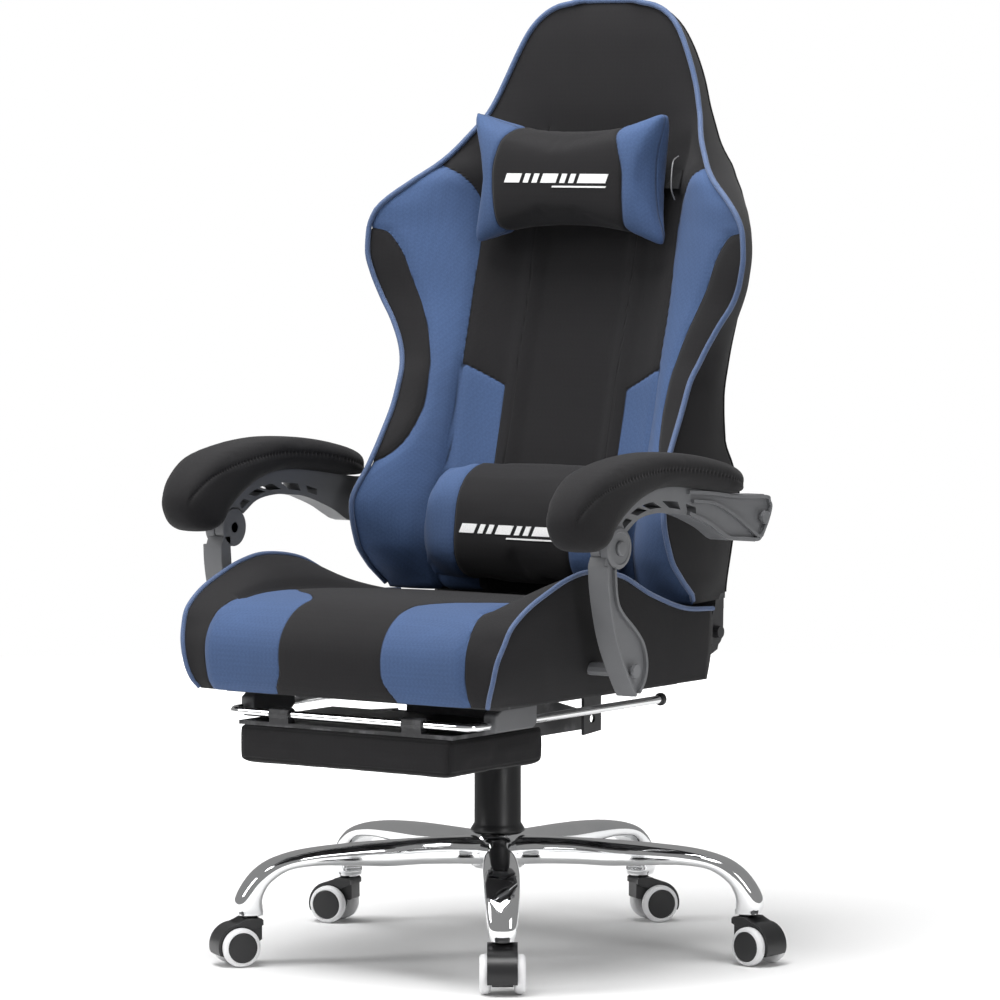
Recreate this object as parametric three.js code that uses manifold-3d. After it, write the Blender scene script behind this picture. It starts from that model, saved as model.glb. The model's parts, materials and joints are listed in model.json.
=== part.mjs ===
// A racing-style gaming chair with a pull-out footrest.
// Millimetres, +Z up. The sitter faces -Y and the sitter's left is +X.
// The model is drawn round the swivel axis (x = y = 0, floor at z = floorZ) and then
// moved as a whole so that its origin is the bottom centre of its bounding box.
import * as THREE from 'three';
import { mergeVertices } from 'three/addons/utils/BufferGeometryUtils.js';
import Module from 'manifold-3d';

// ---------------------------------------------------------------- driving dimensions

const gap = 0.4; // between pieces that touch
const runGap = 0.3; // radial, between a pin and its hole

// star base
const legCount = 5;
const legCircle = 335; // radius of the circle of caster stems
const floorZ = 14; // of the floor in the drawing
const legEndZ = floorZ + 63.5; // underside of a leg at its caster
const legBackZ = 166; // top of a leg near the hub
const hubBottomZ = 125;
const hubTopZ = 171.6;
const hubWall = 9;

// casters
const wheelRadius = 25;
const wheelFacets = 16;
const wheelInnerFace = 14.2; // from the caster's middle plane
const wheelOuterFace = 28.8;
const casterTrail = 20; // stem to axle
const hoodFrontX = -14;
const hoodFootZ = 14;
const hoodHalfWidth = 19;
const hoodTopZ = 60.5;
const hoodRadius = 29.5;
const axleRadius = 3;
const stemRadius = 5.4;
const stemCollarRadius = 9;

// gas lift
const liftTubeRadius = 25;
const liftTubeTopZ = 255;
const liftRodRadius = 14;
const liftRodBottomZ = 167;
const coverWall = 1.1;
const coverLength = 62;
const lowerCoverLength = 95; // the fixed one, which is as long as the lift's travel allows
const coverSpacing = 0.6; // radial, between one dust cover and the next
const coverFacets = 20;
const liftStrokeUp = 50;
const liftStrokeDown = 30;

// tilt mechanism
const housingBottomZ = 300;
const housingHalfWidth = 70;
const housingRearY = 92;
const housingTopZ = 350;
const steel = 4;
const tiltY = -40;
const tiltZ = 340;
const plateBottomZ = 362;
const plateHalfWidth = 100;
const plateFrontY = -105;
const plateRearY = 125;
const flangeFrontY = 52;
const flangeRearY = 92;
const flangeBottomZ = 298;
const flangeHoleRadius = 6;

// seat
const panBottomZ = 367.2;
const panThickness = 11.8;
const panHalfWidth = 212;
const panFrontY = -300;
const panRearY = 100;
const seatBottomZ = 372;
const seatFrontY = -366;
const seatRearY = 129;
const cushionHalfWidth = 190;
const bolsterWidth = 70;
const bolsterRise = 42;

// footrest
const railRadius = 5.3;
const railX = 189;
const railZ = 346.5;
const railFrontY = -327;
const railRearY = 97;
const guideFrontY = -287;
const guideRearY = -198;
const padHalfWidth = 172;
const padFrontY = -340;
const padRearY = -130;
const padBottomZ = 285;
const padTopZ = 336;
const boardThickness = 5;
const eyeInnerX = 88; // the board's two eyes, which turn on the front rail
const eyeOuterX = 118;
const guideHalfWidth = 10.5;

// recline pivot, and the arm linkage: a parallelogram P0 (recline), P1 (back of the
// beam), P2 (top of the post), P3 (foot of the post)
const reclineY = 173;
const reclineZ = 430;
const postFootY = -156;
const postFootZ = 411;
const postHeight = 155;
const postLean = -30; // y of P2 from P3, and of P1 from P0
const boltRadius = 5;
const spacerRadius = 8.5;
const armInnerX = 286;
const armOuterX = 316;
const bossRadius = 26;
const armPadInnerX = 263;
const armPadOuterX = 337;
const armPadFrontY = -299;
const armPadRearY = 95;
const armPadEndRadius = 32; // in plan

// backrest
const backBottomZ = 472;
const backTopZ = 1252;
const wingTopZ = 1074;
const coreHalfWidth = 155;
const coverThickness = 5;
const coverClearance = 8;
const dishDepth = 30; // how far the core's sides come forward of its middle
const frameTube = 20;
const frameFootY = 184; // of the uprights at the backrest's bottom
const frameLean = 0.235;
const frameTopZ = 908;
const uprightInnerX = coreHalfWidth - 33;
const uprightOuterX = coreHalfWidth - 15;
const crossTubeZ = [585, 740, 900]; // the lowest of the three carries the gussets

// loose cushions
const pillowHalfWidth = 150;
const pillowMiddleZ = 1016;
const pillowHalfHeight = 84;
const pillowWaist = 20;
const pillowSeamY = 167; // it hangs upright, so its seam leaves the backrest at the top
const pillowPlump = 26;
const strapWidth = 24;
const strapThickness = 2;
const lumbarHalfWidth = 157;
const lumbarBottomZ = 487;
const lumbarTopZ = 642;
const lumbarFrontY = 8;

// ---------------------------------------------------------------- solids

const wasm = await Module();
wasm.setup();

// A closed three.js geometry as a solid that can be joined and cut.
function solid(geometry) {
  const bare = geometry.index ? geometry.toNonIndexed() : geometry.clone();
  bare.deleteAttribute('normal');
  bare.deleteAttribute('uv');
  const merged = mergeVertices(bare, 1e-4);
  return new wasm.Manifold(new wasm.Mesh({
    numProp: 3,
    vertProperties: merged.attributes.position.array,
    triVerts: new Uint32Array(merged.index.array),
  }));
}

function geometryOf(shape) {
  const mesh = shape.getMesh();
  const geometry = new THREE.BufferGeometry();
  geometry.setAttribute('position', new THREE.BufferAttribute(mesh.vertProperties, 3));
  geometry.setIndex(new THREE.BufferAttribute(mesh.triVerts, 1));
  return geometry;
}

function box(x0, x1, y0, y1, z0, z1) {
  const geometry = new THREE.BoxGeometry(x1 - x0, y1 - y0, z1 - z0);
  return solid(geometry.translate((x0 + x1) / 2, (y0 + y1) / 2, (z0 + z1) / 2));
}

// A box given for the +X side, placed on side 1 (+X) or -1 (-X).
function sideBox(side, x0, x1, y0, y1, z0, z1) {
  return side > 0 ? box(x0, x1, y0, y1, z0, z1) : box(-x1, -x0, y0, y1, z0, z1);
}

function rodZ(x, y, radius, z0, z1, facets = 24) {
  const geometry = new THREE.CylinderGeometry(radius, radius, z1 - z0, facets);
  return solid(geometry.rotateX(Math.PI / 2).translate(x, y, (z0 + z1) / 2));
}

function rodX(y, z, radius, x0, x1, facets = 16) {
  const geometry = new THREE.CylinderGeometry(radius, radius, Math.abs(x1 - x0), facets);
  return solid(geometry.rotateZ(Math.PI / 2).translate((x0 + x1) / 2, y, z));
}

// An outline of [y, z] points given a thickness along X, on side 1 or -1.
function plateX(outline, side, x0, x1) {
  const shape = new THREE.Shape(outline.map(([y, z]) => new THREE.Vector2(y, z)));
  const geometry = new THREE.ExtrudeGeometry(shape, { depth: x1 - x0, bevelEnabled: false });
  geometry.applyMatrix4(new THREE.Matrix4().makeBasis(
    new THREE.Vector3(0, 1, 0), new THREE.Vector3(0, 0, 1), new THREE.Vector3(1, 0, 0)));
  return solid(geometry.translate(side > 0 ? x0 : -x1, 0, 0));
}

// An outline of [x, y] points given a height along Z.
function plateZ(outline, z0, z1) {
  const shape = new THREE.Shape(outline.map(([x, y]) => new THREE.Vector2(x, y)));
  const geometry = new THREE.ExtrudeGeometry(shape, { depth: z1 - z0, bevelEnabled: false });
  return solid(geometry.translate(0, 0, z0));
}

// A ring or a solid of revolution about Z. The outline of [radius, z] points runs
// anticlockwise as seen with the radius to the right and Z up.
function turned(outline, facets = 24, start = 0) {
  const points = outline.map(([radius, z]) => new THREE.Vector2(radius, z));
  if (outline.every(([radius]) => radius > 0)) points.push(points[0].clone());
  const geometry = new THREE.LatheGeometry(points, facets, start, 2 * Math.PI);
  return solid(geometry.rotateX(Math.PI / 2));
}

// A block whose corners on a grid are moved to place(u, v, w). us, vs and ws are the
// grid's values along its three directions, and side -1 mirrors the block in x = 0.
function shaped(us, vs, ws, place, side = 1) {
  const grid = new THREE.BoxGeometry(1, 1, 1, us.length - 1, vs.length - 1, ws.length - 1);
  const bare = grid.toNonIndexed();
  const corners = bare.attributes.position;
  const pick = (list, t) => list[Math.round((t + 0.5) * (list.length - 1))];
  for (let i = 0; i < corners.count; i += 1) {
    const u = pick(us, corners.getX(i));
    const v = pick(vs, corners.getY(i));
    const w = pick(ws, corners.getZ(i));
    const [x, y, z] = place(u, v, w);
    corners.setXYZ(i, side * x, y, z);
  }
  if (side < 0) {
    for (let i = 0; i < corners.count; i += 3) {
      const a = new THREE.Vector3().fromBufferAttribute(corners, i + 1);
      const b = new THREE.Vector3().fromBufferAttribute(corners, i + 2);
      corners.setXYZ(i + 1, b.x, b.y, b.z);
      corners.setXYZ(i + 2, a.x, a.y, a.z);
    }
  }
  return solid(bare);
}

// ---------------------------------------------------------------- curves

// The value at t of a line through [t, value] pairs, held level past its ends.
function along(pairs, t) {
  const last = pairs.length - 1;
  if (t <= pairs[0][0]) return pairs[0][1];
  if (t >= pairs[last][0]) return pairs[last][1];
  const next = pairs.findIndex(([key]) => key >= t);
  const [t0, value0] = pairs[next - 1];
  const [t1, value1] = pairs[next];
  return value0 + (value1 - value0) * (t - t0) / (t1 - t0);
}

function arc(y, z, radius, from, to, steps) {
  return Array.from({ length: steps + 1 }, (_, i) => {
    const angle = THREE.MathUtils.degToRad(from + (to - from) * i / steps);
    return [y + radius * Math.cos(angle), z + radius * Math.sin(angle)];
  });
}

function smooth(points, steps) {
  const curve = new THREE.SplineCurve(points.map(([a, b]) => new THREE.Vector2(a, b)));
  return curve.getPoints(steps).map((point) => [point.x, point.y]);
}

// ---------------------------------------------------------------- the scene

const chair = new THREE.Group();

function add(name, shape, look) {
  const material = new THREE.MeshStandardMaterial(look);
  const mesh = new THREE.Mesh(geometryOf(shape), material);
  mesh.name = name;
  chair.add(mesh);
  return mesh;
}

const chrome = { color: 0xd8dadc, roughness: 0.12, metalness: 1 };
const blackSteel = { color: 0x1b1c1e, roughness: 0.45, metalness: 0.6 };
const blackPlastic = { color: 0x151516, roughness: 0.5, metalness: 0 };
const greyPlastic = { color: 0x55575b, roughness: 0.5, metalness: 0 };
const whiteTread = { color: 0xe9e9ea, roughness: 0.45, metalness: 0 };
const blackFabric = { color: 0x1d1d1f, roughness: 0.9, metalness: 0 };
const blueFabric = { color: 0x3d5688, roughness: 0.9, metalness: 0 };
const webbing = { color: 0x202022, roughness: 0.85, metalness: 0 };

// ---------------------------------------------------------------- base and gas lift

// One leg, drawn along +X: its side view crossed with its plan view.
function baseLeg() {
  const crest = legBackZ;
  const tipOut = legCircle + 18;
  const tipIn = legCircle - 18;
  const top = smooth([[10, crest], [155, crest - 2], [210, crest - 3], [265, crest - 8],
    [304, crest - 18], [328, crest - 32], [345, crest - 51], [tipOut, legEndZ + 12]], 10);
  const under = smooth([[tipIn + 4, legEndZ + 16], [312, 119], [287, 134], [249, 137],
    [155, 133], [10, 131]], 7);
  const side = [...top, [tipOut, legEndZ], [tipIn, legEndZ], ...under].reverse();
  const edge = [[10, 14], [60, 14], [150, 22], [250, 23.5], [legCircle, 19], [tipOut + 1, 8]];
  const plan = [...edge.map(([r, half]) => [r, -half]), ...[...edge].reverse()];
  const profile = plateX(side, 1, -30, 30).rotate([0, 0, -90]);
  return profile.intersect(plateZ(plan, legEndZ - 5, crest + 5));
}

function legTurn(index) {
  return -90 + 36 + 72 * index;
}

function starBase() {
  const hubRadius = liftTubeRadius + hubWall;
  let base = turned([[0, hubBottomZ], [hubRadius - 3, hubBottomZ], [hubRadius, hubBottomZ + 4],
    [hubRadius, hubTopZ - 4], [hubRadius - 3, hubTopZ], [0, hubTopZ]], 20);
  const leg = baseLeg();
  const stemHole = rodZ(legCircle, 0, stemRadius + gap, legEndZ - 10, legEndZ + 26, 10);
  for (let i = 0; i < legCount; i += 1) {
    base = base.add(leg.rotate([0, 0, legTurn(i)]));
  }
  for (let i = 0; i < legCount; i += 1) {
    base = base.subtract(stemHole.rotate([0, 0, legTurn(i)]));
  }
  return base.subtract(rodZ(0, 0, liftTubeRadius + gap + 0.2, hubBottomZ - 10, hubTopZ + 10, 20));
}

function liftTube() {
  const floor = hubBottomZ + 10;
  const bore = liftRodRadius + runGap;
  return turned([[0, hubBottomZ + 3], [liftTubeRadius, hubBottomZ + 3],
    [liftTubeRadius, liftTubeTopZ], [bore, liftTubeTopZ], [bore, floor], [0, floor]], 20);
}

const rodTopZ = housingBottomZ + 28;

function liftRod() {
  return turned([[0, liftRodBottomZ], [liftRodRadius, liftRodBottomZ],
    [liftRodRadius, rodTopZ], [0, rodTopZ]], 20);
}

const upperCoverRadius = liftTubeRadius + 0.8;
const middleCoverRadius = upperCoverRadius + coverWall + coverSpacing;
const lowerCoverRadius = middleCoverRadius + coverWall + coverSpacing;
const lowerCoverZ = hubTopZ + gap;
const upperCoverZ = housingBottomZ - gap - coverLength;

function lowerDustCover() {
  const inner = lowerCoverRadius;
  const outer = inner + coverWall;
  return turned([[inner, lowerCoverZ], [outer + 5, lowerCoverZ], [outer + 5, lowerCoverZ + 3],
    [outer, lowerCoverZ + 11], [outer, lowerCoverZ + lowerCoverLength],
    [inner, lowerCoverZ + lowerCoverLength]], coverFacets);
}

function middleDustCover() {
  const middle = (lowerCoverZ + upperCoverZ) / 2 + (liftStrokeUp - liftStrokeDown) / 4 - 5;
  const inner = middleCoverRadius;
  const outer = inner + coverWall;
  return turned([[inner, middle], [outer, middle], [outer, middle + coverLength],
    [inner, middle + coverLength]], coverFacets);
}

function upperDustCover() {
  const top = upperCoverZ + coverLength;
  const inner = upperCoverRadius;
  const outer = inner + coverWall;
  const lip = liftRodRadius + runGap;
  return turned([[inner, upperCoverZ], [outer, upperCoverZ], [outer, top], [lip, top],
    [lip, top - 2], [inner, top - 2]], coverFacets);
}

add('star_base', starBase(), chrome);
add('lift_outer_tube', liftTube(), blackSteel);
add('lift_inner_column', liftRod(), chrome);
add('dust_cover_lower', lowerDustCover(), blackPlastic);
add('dust_cover_middle', middleDustCover(), blackPlastic);
add('dust_cover_upper', upperDustCover(), blackPlastic);

// ---------------------------------------------------------------- casters

// A caster is drawn with its stem on Z, its wheels trailing towards +X and the floor at
// z = 0.
const stemFootZ = 38;

function casterStem() {
  const legZ = legEndZ - floorZ;
  return turned([[0, stemFootZ], [stemRadius, stemFootZ], [stemRadius, hoodTopZ + gap],
    [stemCollarRadius, hoodTopZ + gap], [stemCollarRadius, legZ - gap],
    [stemRadius, legZ - gap], [stemRadius, legZ + 24], [0, legZ + 24]], 10);
}

function casterHood() {
  const rim = arc(casterTrail, wheelRadius, hoodRadius, -12, 108, 6);
  const outline = [[hoodFrontX, hoodFootZ + 16], [hoodFrontX + 4, hoodFootZ + 4],
    [hoodFrontX + 10, hoodFootZ], [casterTrail + 8, hoodFootZ],
    ...rim, [casterTrail - 12, hoodTopZ], [hoodFrontX, hoodTopZ]];
  const shape = plateX(outline, 1, -hoodHalfWidth, hoodHalfWidth).rotate([0, 0, -90]);
  const pocket = wheelBlank(wheelRadius + 2, wheelInnerFace - gap, hoodHalfWidth + 5, 16);
  const axle = wheelBlank(axleRadius, -wheelOuterFace + 1, wheelOuterFace - 1, 10);
  const otherPocket = pocket.mirror([0, 1, 0]);
  const bore = rodZ(0, 0, stemRadius + runGap + 0.1, stemFootZ - 0.5, hoodTopZ + 5, 10);
  return shape.subtract(pocket).subtract(otherPocket).add(axle).subtract(bore);
}

// A plain disc round the axle, from y0 to y1.
function wheelBlank(radius, y0, y1, facets = 12) {
  const geometry = new THREE.CylinderGeometry(radius, radius, y1 - y0, facets);
  return solid(geometry.translate(casterTrail, (y0 + y1) / 2, wheelRadius));
}

function casterWheel(side) {
  const tread = wheelRadius / Math.cos(Math.PI / wheelFacets);
  const bore = axleRadius + runGap + 0.1;
  const wheel = turned([[bore, wheelInnerFace], [tread - 1.5, wheelInnerFace],
    [tread, wheelInnerFace + 1.5], [tread, wheelOuterFace - 2.3],
    [tread - 5, wheelOuterFace], [bore, wheelOuterFace]], wheelFacets, Math.PI / wheelFacets);
  return wheel.rotate([side > 0 ? -90 : 90, 0, 0]).translate([casterTrail, 0, wheelRadius]);
}

// name, leg number, and the way the wheels trail, anticlockwise from +X
const casters = [
  ['caster_front_left', 0, -55],
  ['caster_side_left', 1, -7],
  ['caster_rear', 2, 56],
  ['caster_side_right', 3, 192],
  ['caster_front_right', 4, 237],
];

for (const [name, leg, trailTurn] of casters) {
  const angle = THREE.MathUtils.degToRad(legTurn(leg));
  const foot = new THREE.Group();
  foot.position.set(legCircle * Math.cos(angle), legCircle * Math.sin(angle), floorZ);
  foot.rotation.z = THREE.MathUtils.degToRad(trailTurn);
  foot.add(add(`${name}_stem`, casterStem(), blackSteel));
  foot.add(add(`${name}_hood`, casterHood(), blackPlastic));
  foot.add(add(`${name}_wheel_left`, casterWheel(1), whiteTread));
  foot.add(add(`${name}_wheel_right`, casterWheel(-1), whiteTread));
  chair.add(foot);
}

// ---------------------------------------------------------------- tilt mechanism

const knobY = -82;
const leverY = 30;
const leverZ = 312;

function tiltHousing() {
  const rear = housingRearY;
  const front = plateFrontY;
  const wall = [[front, housingBottomZ], [rear, housingBottomZ], [rear, housingBottomZ + 26],
    [0, housingTopZ], [front, housingTopZ]];
  let housing = box(-housingHalfWidth, housingHalfWidth, front, rear,
    housingBottomZ, housingBottomZ + steel);
  for (const side of [1, -1]) {
    housing = housing.add(plateX(wall, side, housingHalfWidth - steel, housingHalfWidth));
  }
  housing = housing.add(box(-housingHalfWidth, housingHalfWidth, front, front + steel,
    housingBottomZ, housingTopZ));
  housing = housing.add(rodZ(0, 0, liftRodRadius + 9, housingBottomZ, rodTopZ + 2, 20));
  housing = housing.subtract(rodZ(0, 0, liftRodRadius + runGap + 0.2, housingBottomZ - 5, rodTopZ + 5, 20));
  housing = housing.subtract(rodX(tiltY, tiltZ, boltRadius + runGap,
    -housingHalfWidth - 5, housingHalfWidth + 5, 16));
  housing = housing.subtract(rodZ(0, knobY, boltRadius + gap, housingBottomZ - 5,
    housingBottomZ + steel + 5, 12));
  const slot = sideBox(-1, housingHalfWidth - steel - 3, housingHalfWidth + 3,
    leverY - 8, leverY + 8, leverZ - 5, leverZ + 14);
  return housing.subtract(slot);
}

function seatPlate() {
  let plate = box(-plateHalfWidth, plateHalfWidth, plateFrontY, plateRearY,
    plateBottomZ, plateBottomZ + steel);
  const earX = housingHalfWidth + gap;
  const ear = [[tiltY - 26, plateBottomZ + 1], [tiltY - 12, tiltZ - 8], [tiltY - 5, tiltZ - 13],
    [tiltY + 5, tiltZ - 13], [tiltY + 12, tiltZ - 8], [tiltY + 26, plateBottomZ + 1]];
  const flange = [[flangeFrontY, plateBottomZ + 1], [flangeFrontY, flangeBottomZ],
    [flangeRearY, flangeBottomZ + 3], [flangeRearY, plateBottomZ + 1]];
  const flangeMiddleY = (flangeFrontY + flangeRearY) / 2;
  for (const side of [1, -1]) {
    plate = plate.add(plateX(ear, side, earX, earX + steel));
    plate = plate.add(plateX(flange, side, plateHalfWidth - steel, plateHalfWidth));
    plate = plate.add(rodX(tiltY, tiltZ, boltRadius, side * (earX + steel + 3),
      side * (housingHalfWidth - steel - 2), 16));
    plate = plate.subtract(rodX(flangeMiddleY, flangeBottomZ + 20, flangeHoleRadius,
      side * (plateHalfWidth - 10),
      side * (plateHalfWidth + 10), 12));
  }
  return plate;
}

function tensionKnob() {
  const top = housingBottomZ - gap;
  const knob = turned([[0, top - 38], [17, top - 38], [20, top - 34], [21, top - 8],
    [16, top], [boltRadius, top], [boltRadius, top + steel + 14], [0, top + steel + 14]], 16);
  return knob.translate([0, knobY, 0]);
}

function heightLever() {
  const end = 232;
  const rod = rodX(leverY, leverZ, 4, -(housingHalfWidth - steel - 22), -end + 40, 12);
  const grip = shaped([0, 0.5, 1], [-1, 1], [-1, 1], (u, v, w) => [
    end - 46 * (1 - u), leverY + v * (7 + 6 * u), leverZ - 5 * u + w * 5.5], -1);
  return rod.add(grip);
}

add('tilt_housing', tiltHousing(), blackSteel);
add('seat_plate', seatPlate(), blackSteel);
add('tension_knob', tensionKnob(), blackPlastic);
add('height_lever', heightLever(), blackPlastic);

// ---------------------------------------------------------------- footrest

function footrestFrame() {
  const corner = (x) => solid(new THREE.SphereGeometry(railRadius, 10, 6)
    .translate(x, railFrontY, railZ));
  const rail = (x) => solid(new THREE.CylinderGeometry(railRadius, railRadius,
    railRearY - railFrontY, 12).translate(x, (railRearY + railFrontY) / 2, railZ));
  const stop = (x) => solid(new THREE.CylinderGeometry(railRadius + 3, railRadius + 3, 5, 12)
    .translate(x, railRearY, railZ));
  let frame = rodX(railFrontY, railZ, railRadius, -railX, railX, 12);
  for (const x of [railX, -railX]) {
    frame = frame.add(corner(x)).add(rail(x)).add(stop(x));
  }
  return frame;
}

function footrestGuide(side) {
  const block = sideBox(side, railX - guideHalfWidth, railX + guideHalfWidth, guideFrontY, guideRearY,
    railZ - 9, panBottomZ - gap);
  const bore = new THREE.CylinderGeometry(railRadius + gap, railRadius + gap,
    guideRearY - guideFrontY + 20, 12);
  return block.subtract(solid(bore.translate(side * railX,
    (guideRearY + guideFrontY) / 2, railZ)));
}

function footrestBoard() {
  const eyeRadius = railRadius + gap + 3.2;
  let board = box(-padHalfWidth + 6, padHalfWidth - 6, padFrontY + 6, padRearY - 6,
    padTopZ - boardThickness, padTopZ);
  for (const side of [1, -1]) {
    board = board.add(rodX(railFrontY, railZ, eyeRadius, side * eyeInnerX, side * eyeOuterX, 16));
    board = board.add(sideBox(side, eyeInnerX, eyeOuterX, railFrontY - 7, railFrontY + 7,
      padTopZ - 1, railZ));
  }
  return board.subtract(rodX(railFrontY, railZ, railRadius + gap, -padHalfWidth,
    padHalfWidth, 16));
}

function footrestPad() {
  const soften = (t) => 1 - 0.035 * t * t;
  return shaped([-1, -0.96, 0, 0.96, 1], [-1, -0.94, 0.94, 1], [0, 0.2, 0.8, 1], (u, v, w) => {
    const edge = 1 - 0.03 * Math.abs(w - 0.5) * 2;
    const x = u * padHalfWidth * soften(v) * edge;
    const y = (padFrontY + padRearY) / 2 + v * (padRearY - padFrontY) / 2 * soften(u) * edge;
    return [x, y, padBottomZ + w * (padTopZ - boardThickness - gap - padBottomZ)];
  });
}

add('footrest_frame', footrestFrame(), chrome);
add('footrest_guide_left', footrestGuide(1), greyPlastic);
add('footrest_guide_right', footrestGuide(-1), greyPlastic);
add('footrest_board', footrestBoard(), blackSteel);
add('footrest_pad', footrestPad(), blackFabric);

// ---------------------------------------------------------------- seat

const panTopZ = panBottomZ + panThickness;
const earThickness = 4.5;
const reclinerThickness = 6;
const reclinerX = panHalfWidth + gap;

function seatPan() {
  let pan = box(-panHalfWidth, panHalfWidth, panFrontY, panRearY, panBottomZ, panTopZ);
  const ear = [[postFootY - 20, panTopZ - 2], [postFootY + 20, panTopZ - 2],
    ...arc(postFootY, postFootZ, 14, 0, 180, 6)];
  for (const side of [1, -1]) {
    pan = pan.add(plateX(ear, side, panHalfWidth - earThickness, panHalfWidth));
  }
  return pan;
}

// What the foam leaves free: the pan, its ears, the bolts and the recliners.
function seatHollow() {
  let hollow = box(-panHalfWidth - gap, panHalfWidth + gap, panFrontY - gap, panRearY + gap,
    seatBottomZ - 10, panTopZ + gap);
  for (const side of [1, -1]) {
    const inner = panHalfWidth - earThickness - gap;
    hollow = hollow.add(sideBox(side, inner, panHalfWidth + gap, postFootY - 20 - gap,
      postFootY + 20 + gap, seatBottomZ - 5, postFootZ + 14 + gap));
    hollow = hollow.add(rodX(postFootY, postFootZ, spacerRadius + gap, side * panHalfWidth,
      side * (panHalfWidth + 90)));
    hollow = hollow.add(sideBox(side, panHalfWidth, reclinerX + reclinerThickness + gap,
      50 - gap, seatRearY + 20, seatBottomZ - 10, reclineZ + 20));
  }
  return hollow;
}

const seatCrown = [[seatFrontY, 452], [seatFrontY + 16, 472], [seatFrontY + 50, 485],
  [-250, 492], [-100, 487], [80, 470], [seatRearY, 464]];
const bolsterCrown = [[seatFrontY, 440], [seatFrontY + 14, 462], [seatFrontY + 34, 480],
  [-290, 503], [-220, 524], [-160, 490 + bolsterRise], [-89, 521], [-43, 502], [3, 485],
  [49, 471], [seatRearY, 464]];

// How far the rounded front edge draws a point back: at its top and bottom (w 1 and 0)
// and towards the corner (u 1), fading out over the depth behind it.
function frontRound(y, w, u) {
  const fade = Math.max(0, 1 - (y - seatFrontY) / 80);
  return fade * (14 * (2 * w - 1) ** 2 + 18 * u * u);
}

function seatCushion() {
  const ys = seatCrown.map(([y]) => y);
  const block = shaped([-1, 0, 1], ys, [0, 0.5, 1], (u, v, w) => {
    const x = u * cushionHalfWidth;
    return [x, v + frontRound(v, w, 0), seatBottomZ + w * (along(seatCrown, v) - seatBottomZ)];
  });
  return block.subtract(seatHollow());
}

function seatBolster(side) {
  const ys = bolsterCrown.map(([y]) => y);
  const inner = cushionHalfWidth + gap;
  const block = shaped([0, 0.4, 0.8, 1], ys, [0, 0.45, 0.85, 1], (u, v, w) => {
    const bulge = [-18, 0, -3, -12][[0, 0.45, 0.85, 1].indexOf(w)];
    const x = inner + u * (bolsterWidth - gap + bulge);
    const crown = along(seatCrown, v) + (along(bolsterCrown, v) - along(seatCrown, v)) * u;
    return [x, v + frontRound(v, w, u), seatBottomZ + w * (crown - seatBottomZ)];
  }, side);
  return block.subtract(seatHollow());
}

add('seat_pan', seatPan(), blackSteel);
add('seat_cushion', seatCushion(), blueFabric);
add('seat_bolster_left', seatBolster(1), blackFabric);
add('seat_bolster_right', seatBolster(-1), blackFabric);

// ---------------------------------------------------------------- recliners

const pinRadius = 8;
const hingePlateX = reclinerX + reclinerThickness + gap;
const hingePlateThickness = 5;
const pinEndX = hingePlateX + hingePlateThickness + 9;

function recliner(side) {
  const plate = [[50, seatBottomZ + 2], [panRearY, seatBottomZ + 2],
    [reclineY + 14, reclineZ - 24], ...arc(reclineY, reclineZ, 22, -30, 120, 7),
    [seatRearY - 6, reclineZ + 14], [50, reclineZ - 20]];
  return plateX(plate, side, reclinerX, reclinerX + reclinerThickness)
    .add(rodX(reclineY, reclineZ, pinRadius, side * reclinerX, side * pinEndX));
}

function reclineLever() {
  const hubX = hingePlateX + hingePlateThickness + gap;
  const handleX = cushionHalfWidth + bolsterWidth + 8;
  const handle = [[reclineY + 10, reclineZ - 12], [reclineY + 12, reclineZ + 10],
    [reclineY - 30, reclineZ + 16], [60, reclineZ + 26], [38, reclineZ + 22],
    [34, reclineZ + 10], [60, reclineZ + 6], [reclineY - 30, reclineZ - 6]].reverse();
  return rodX(reclineY, reclineZ, 13, -hubX, -handleX - 3)
    .add(plateX(handle, -1, handleX, handleX + 9))
    .subtract(rodX(reclineY, reclineZ, pinRadius + runGap, -hubX + 5, -pinEndX - gap));
}

add('recliner_left', recliner(1), blackSteel);
add('recliner_right', recliner(-1), blackSteel);
add('recline_lever', reclineLever(), blackPlastic);

// ---------------------------------------------------------------- armrests

const postTopY = postFootY + postLean;
const postTopZ = postFootZ + postHeight;
const beamRearY = reclineY + postLean;
const beamRearZ = reclineZ + postHeight;

function armPost(side) {
  const front = smooth([[-215, 545], [-213, 518], [-206, 485], [-195, 451], [-179, 420],
    [-161, 392], [-151, 378]], 6);
  const rear = smooth([[-140, 381], [-127, 398], [-123, 420], [-131, 444], [-150, 464],
    [-178, 486], [-190, 505], [-194, 541]], 8);
  const lift = ([y, z]) => [y + postFootY + 156, z + postFootZ - 411];
  const outline = [...front, ...rear].map(lift);
  const disc = (radius, x0, x1) => rodX(postTopY, postTopZ, radius, side * x0, side * x1, 18);
  const half = (armInnerX + armOuterX) / 2;
  return plateX([...outline, [postTopY - 6, postTopZ], [postTopY - 24, postTopZ]], side,
    armInnerX, armOuterX)
    .subtract(disc(bossRadius + 2, half - gap, armOuterX + 5))
    .add(disc(bossRadius - 1.5, armInnerX, half - gap))
    .add(disc(pinRadius, armInnerX + 2, armOuterX + 2.5))
    .subtract(rodX(postFootY, postFootZ, boltRadius + runGap, side * (armInnerX - 5),
      side * (armOuterX + 5), 16));
}

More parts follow.
